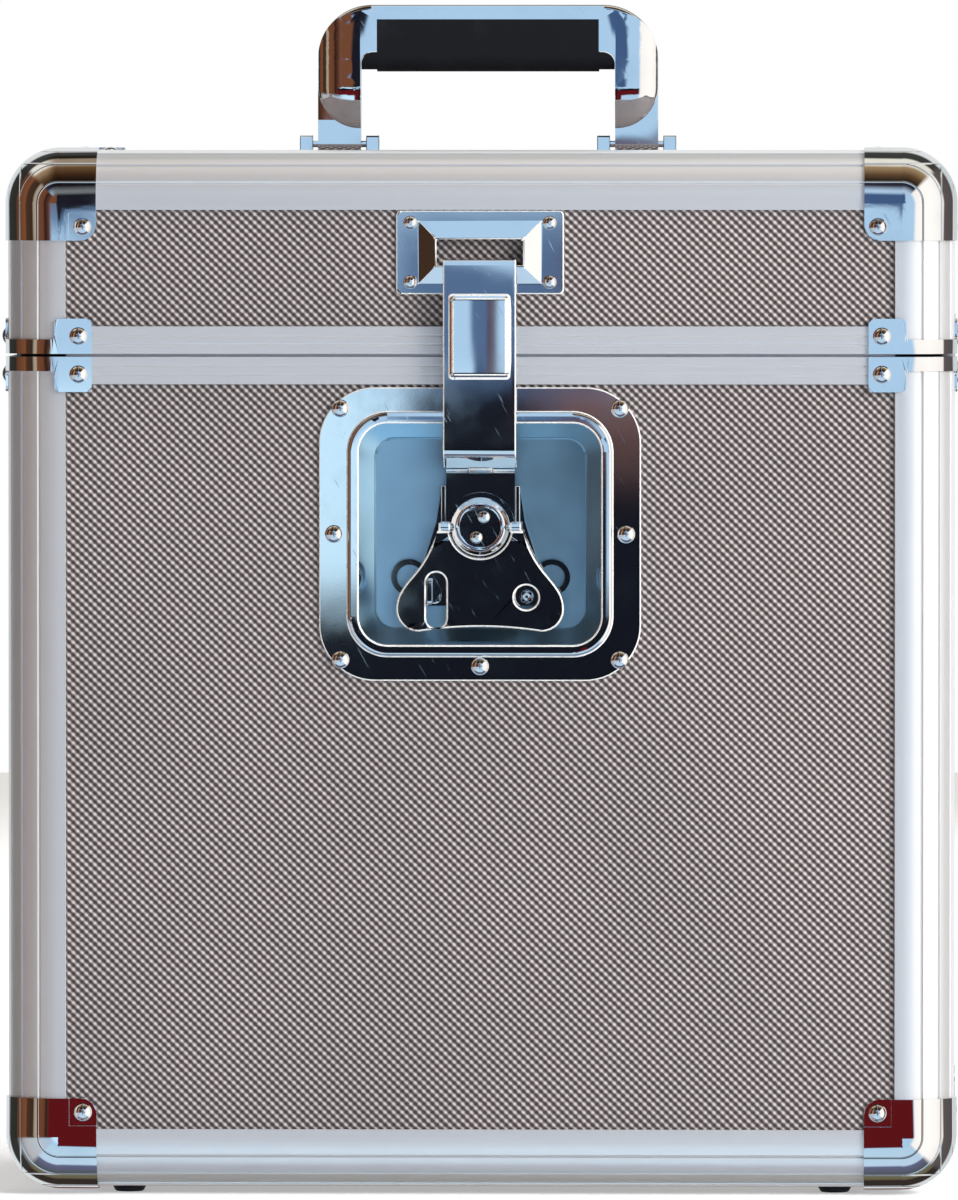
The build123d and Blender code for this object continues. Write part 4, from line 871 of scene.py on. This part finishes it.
class RECORDCASE_OT_stage(bpy.types.Operator):
    """Set up the floor, the lights and the camera"""

    bl_idname = "record_case.stage"
    bl_label = "Set the stage"

    def execute(self, context):
        settings = context.scene.record_case_stage
        bpy.ops.mesh.primitive_circle_add(vertices=FLOOR_SIDES, radius=FLOOR_RADIUS,
                                          fill_type="NGON")
        floor = context.object
        floor.name = "studio_floor"
        material, wire, shader, place = new_material("floor_paper")
        feed(shader, base_color=place.noise(FLOOR_CLOUDS).mixed(
            shade(settings.floor, PAPER_DARKEST), colour(settings.floor)),
            roughness=PAPER_ROUGHNESS, emission_color=colour(settings.floor),
            emission_strength=settings.floor_glow)
        floor.data.materials.append(material)
        floor.visible_glossy = False

        middle = (0, CASE_MIDDLE_Y, CAD_BOX[1].z / 2)
        for name, lamp in LIGHTS.items():
            area_light(name, middle, *lamp)

        world = bpy.data.worlds.new("studio")
        context.scene.world = world
        studio_surround(world)

        across, high = PICTURE
        lens = bpy.data.cameras.new("camera")
        lens.sensor_width = SENSOR
        lens.lens = SENSOR * settings.distance / (high * settings.pixel)
        lens.clip_end = FARTHEST
        lens.dof.use_dof = False
        camera = bpy.data.objects.new("camera", lens)
        aim = Vector(((across / 2 - LEFT_OFFSET) * settings.pixel, PANEL_FACE_Y,
                      (high / 2 - BOTTOM_MARGIN) * settings.pixel))
        level = math.cos(settings.elevation)
        away = Vector((math.sin(settings.azimuth) * level, -math.cos(settings.azimuth) * level,
                       math.sin(settings.elevation)))
        camera.location = aim + away * settings.distance
        camera.rotation_euler = (-away).to_track_quat("-Z", "Y").to_euler()
        context.scene.collection.objects.link(camera)
        context.scene.camera = camera
        context.scene.view_settings.view_transform = "Standard"
        return {"FINISHED"}


# ---------------------------------------------------------------- add-on
OPERATORS = (RECORDCASE_OT_boards, RECORDCASE_OT_extrusions, RECORDCASE_OT_fittings,
             RECORDCASE_OT_soft_parts, RECORDCASE_OT_stage)


class RECORDCASE_PT_panel(bpy.types.Panel):
    """Shows the case's settings and buttons in the sidebar."""

    bl_idname = "RECORDCASE_PT_panel"
    bl_label = "Record case"
    bl_space_type = "VIEW_3D"
    bl_region_type = "UI"
    bl_category = "Record case"

    def draw(self, context):
        for name in GROUPS:
            settings = getattr(context.scene, name)
            box = self.layout.box()
            for key in settings.__annotations__:
                box.prop(settings, key)
        for operator in OPERATORS:
            self.layout.operator(operator.bl_idname)


GROUPS = {"record_case_board": BoardFinish, "record_case_metal": MetalFinish,
          "record_case_soft": SoftFinish, "record_case_stage": StageSettings}


def register():
    for group in GROUPS.values():
        bpy.utils.register_class(group)
    for operator in OPERATORS:
        bpy.utils.register_class(operator)
    bpy.utils.register_class(RECORDCASE_PT_panel)
    for name, group in GROUPS.items():
        setattr(bpy.types.Scene, name, PointerProperty(type=group))


def unregister():
    for name in GROUPS:
        delattr(bpy.types.Scene, name)
    bpy.utils.unregister_class(RECORDCASE_PT_panel)
    for operator in reversed(OPERATORS):
        bpy.utils.unregister_class(operator)
    for group in GROUPS.values():
        bpy.utils.unregister_class(group)


def main():
    """Build everything in order."""
    register()
    for operator in OPERATORS:
        group, action = operator.bl_idname.split(".")
        getattr(getattr(bpy.ops, group), action)()


if __name__ == "__main__":
    main()
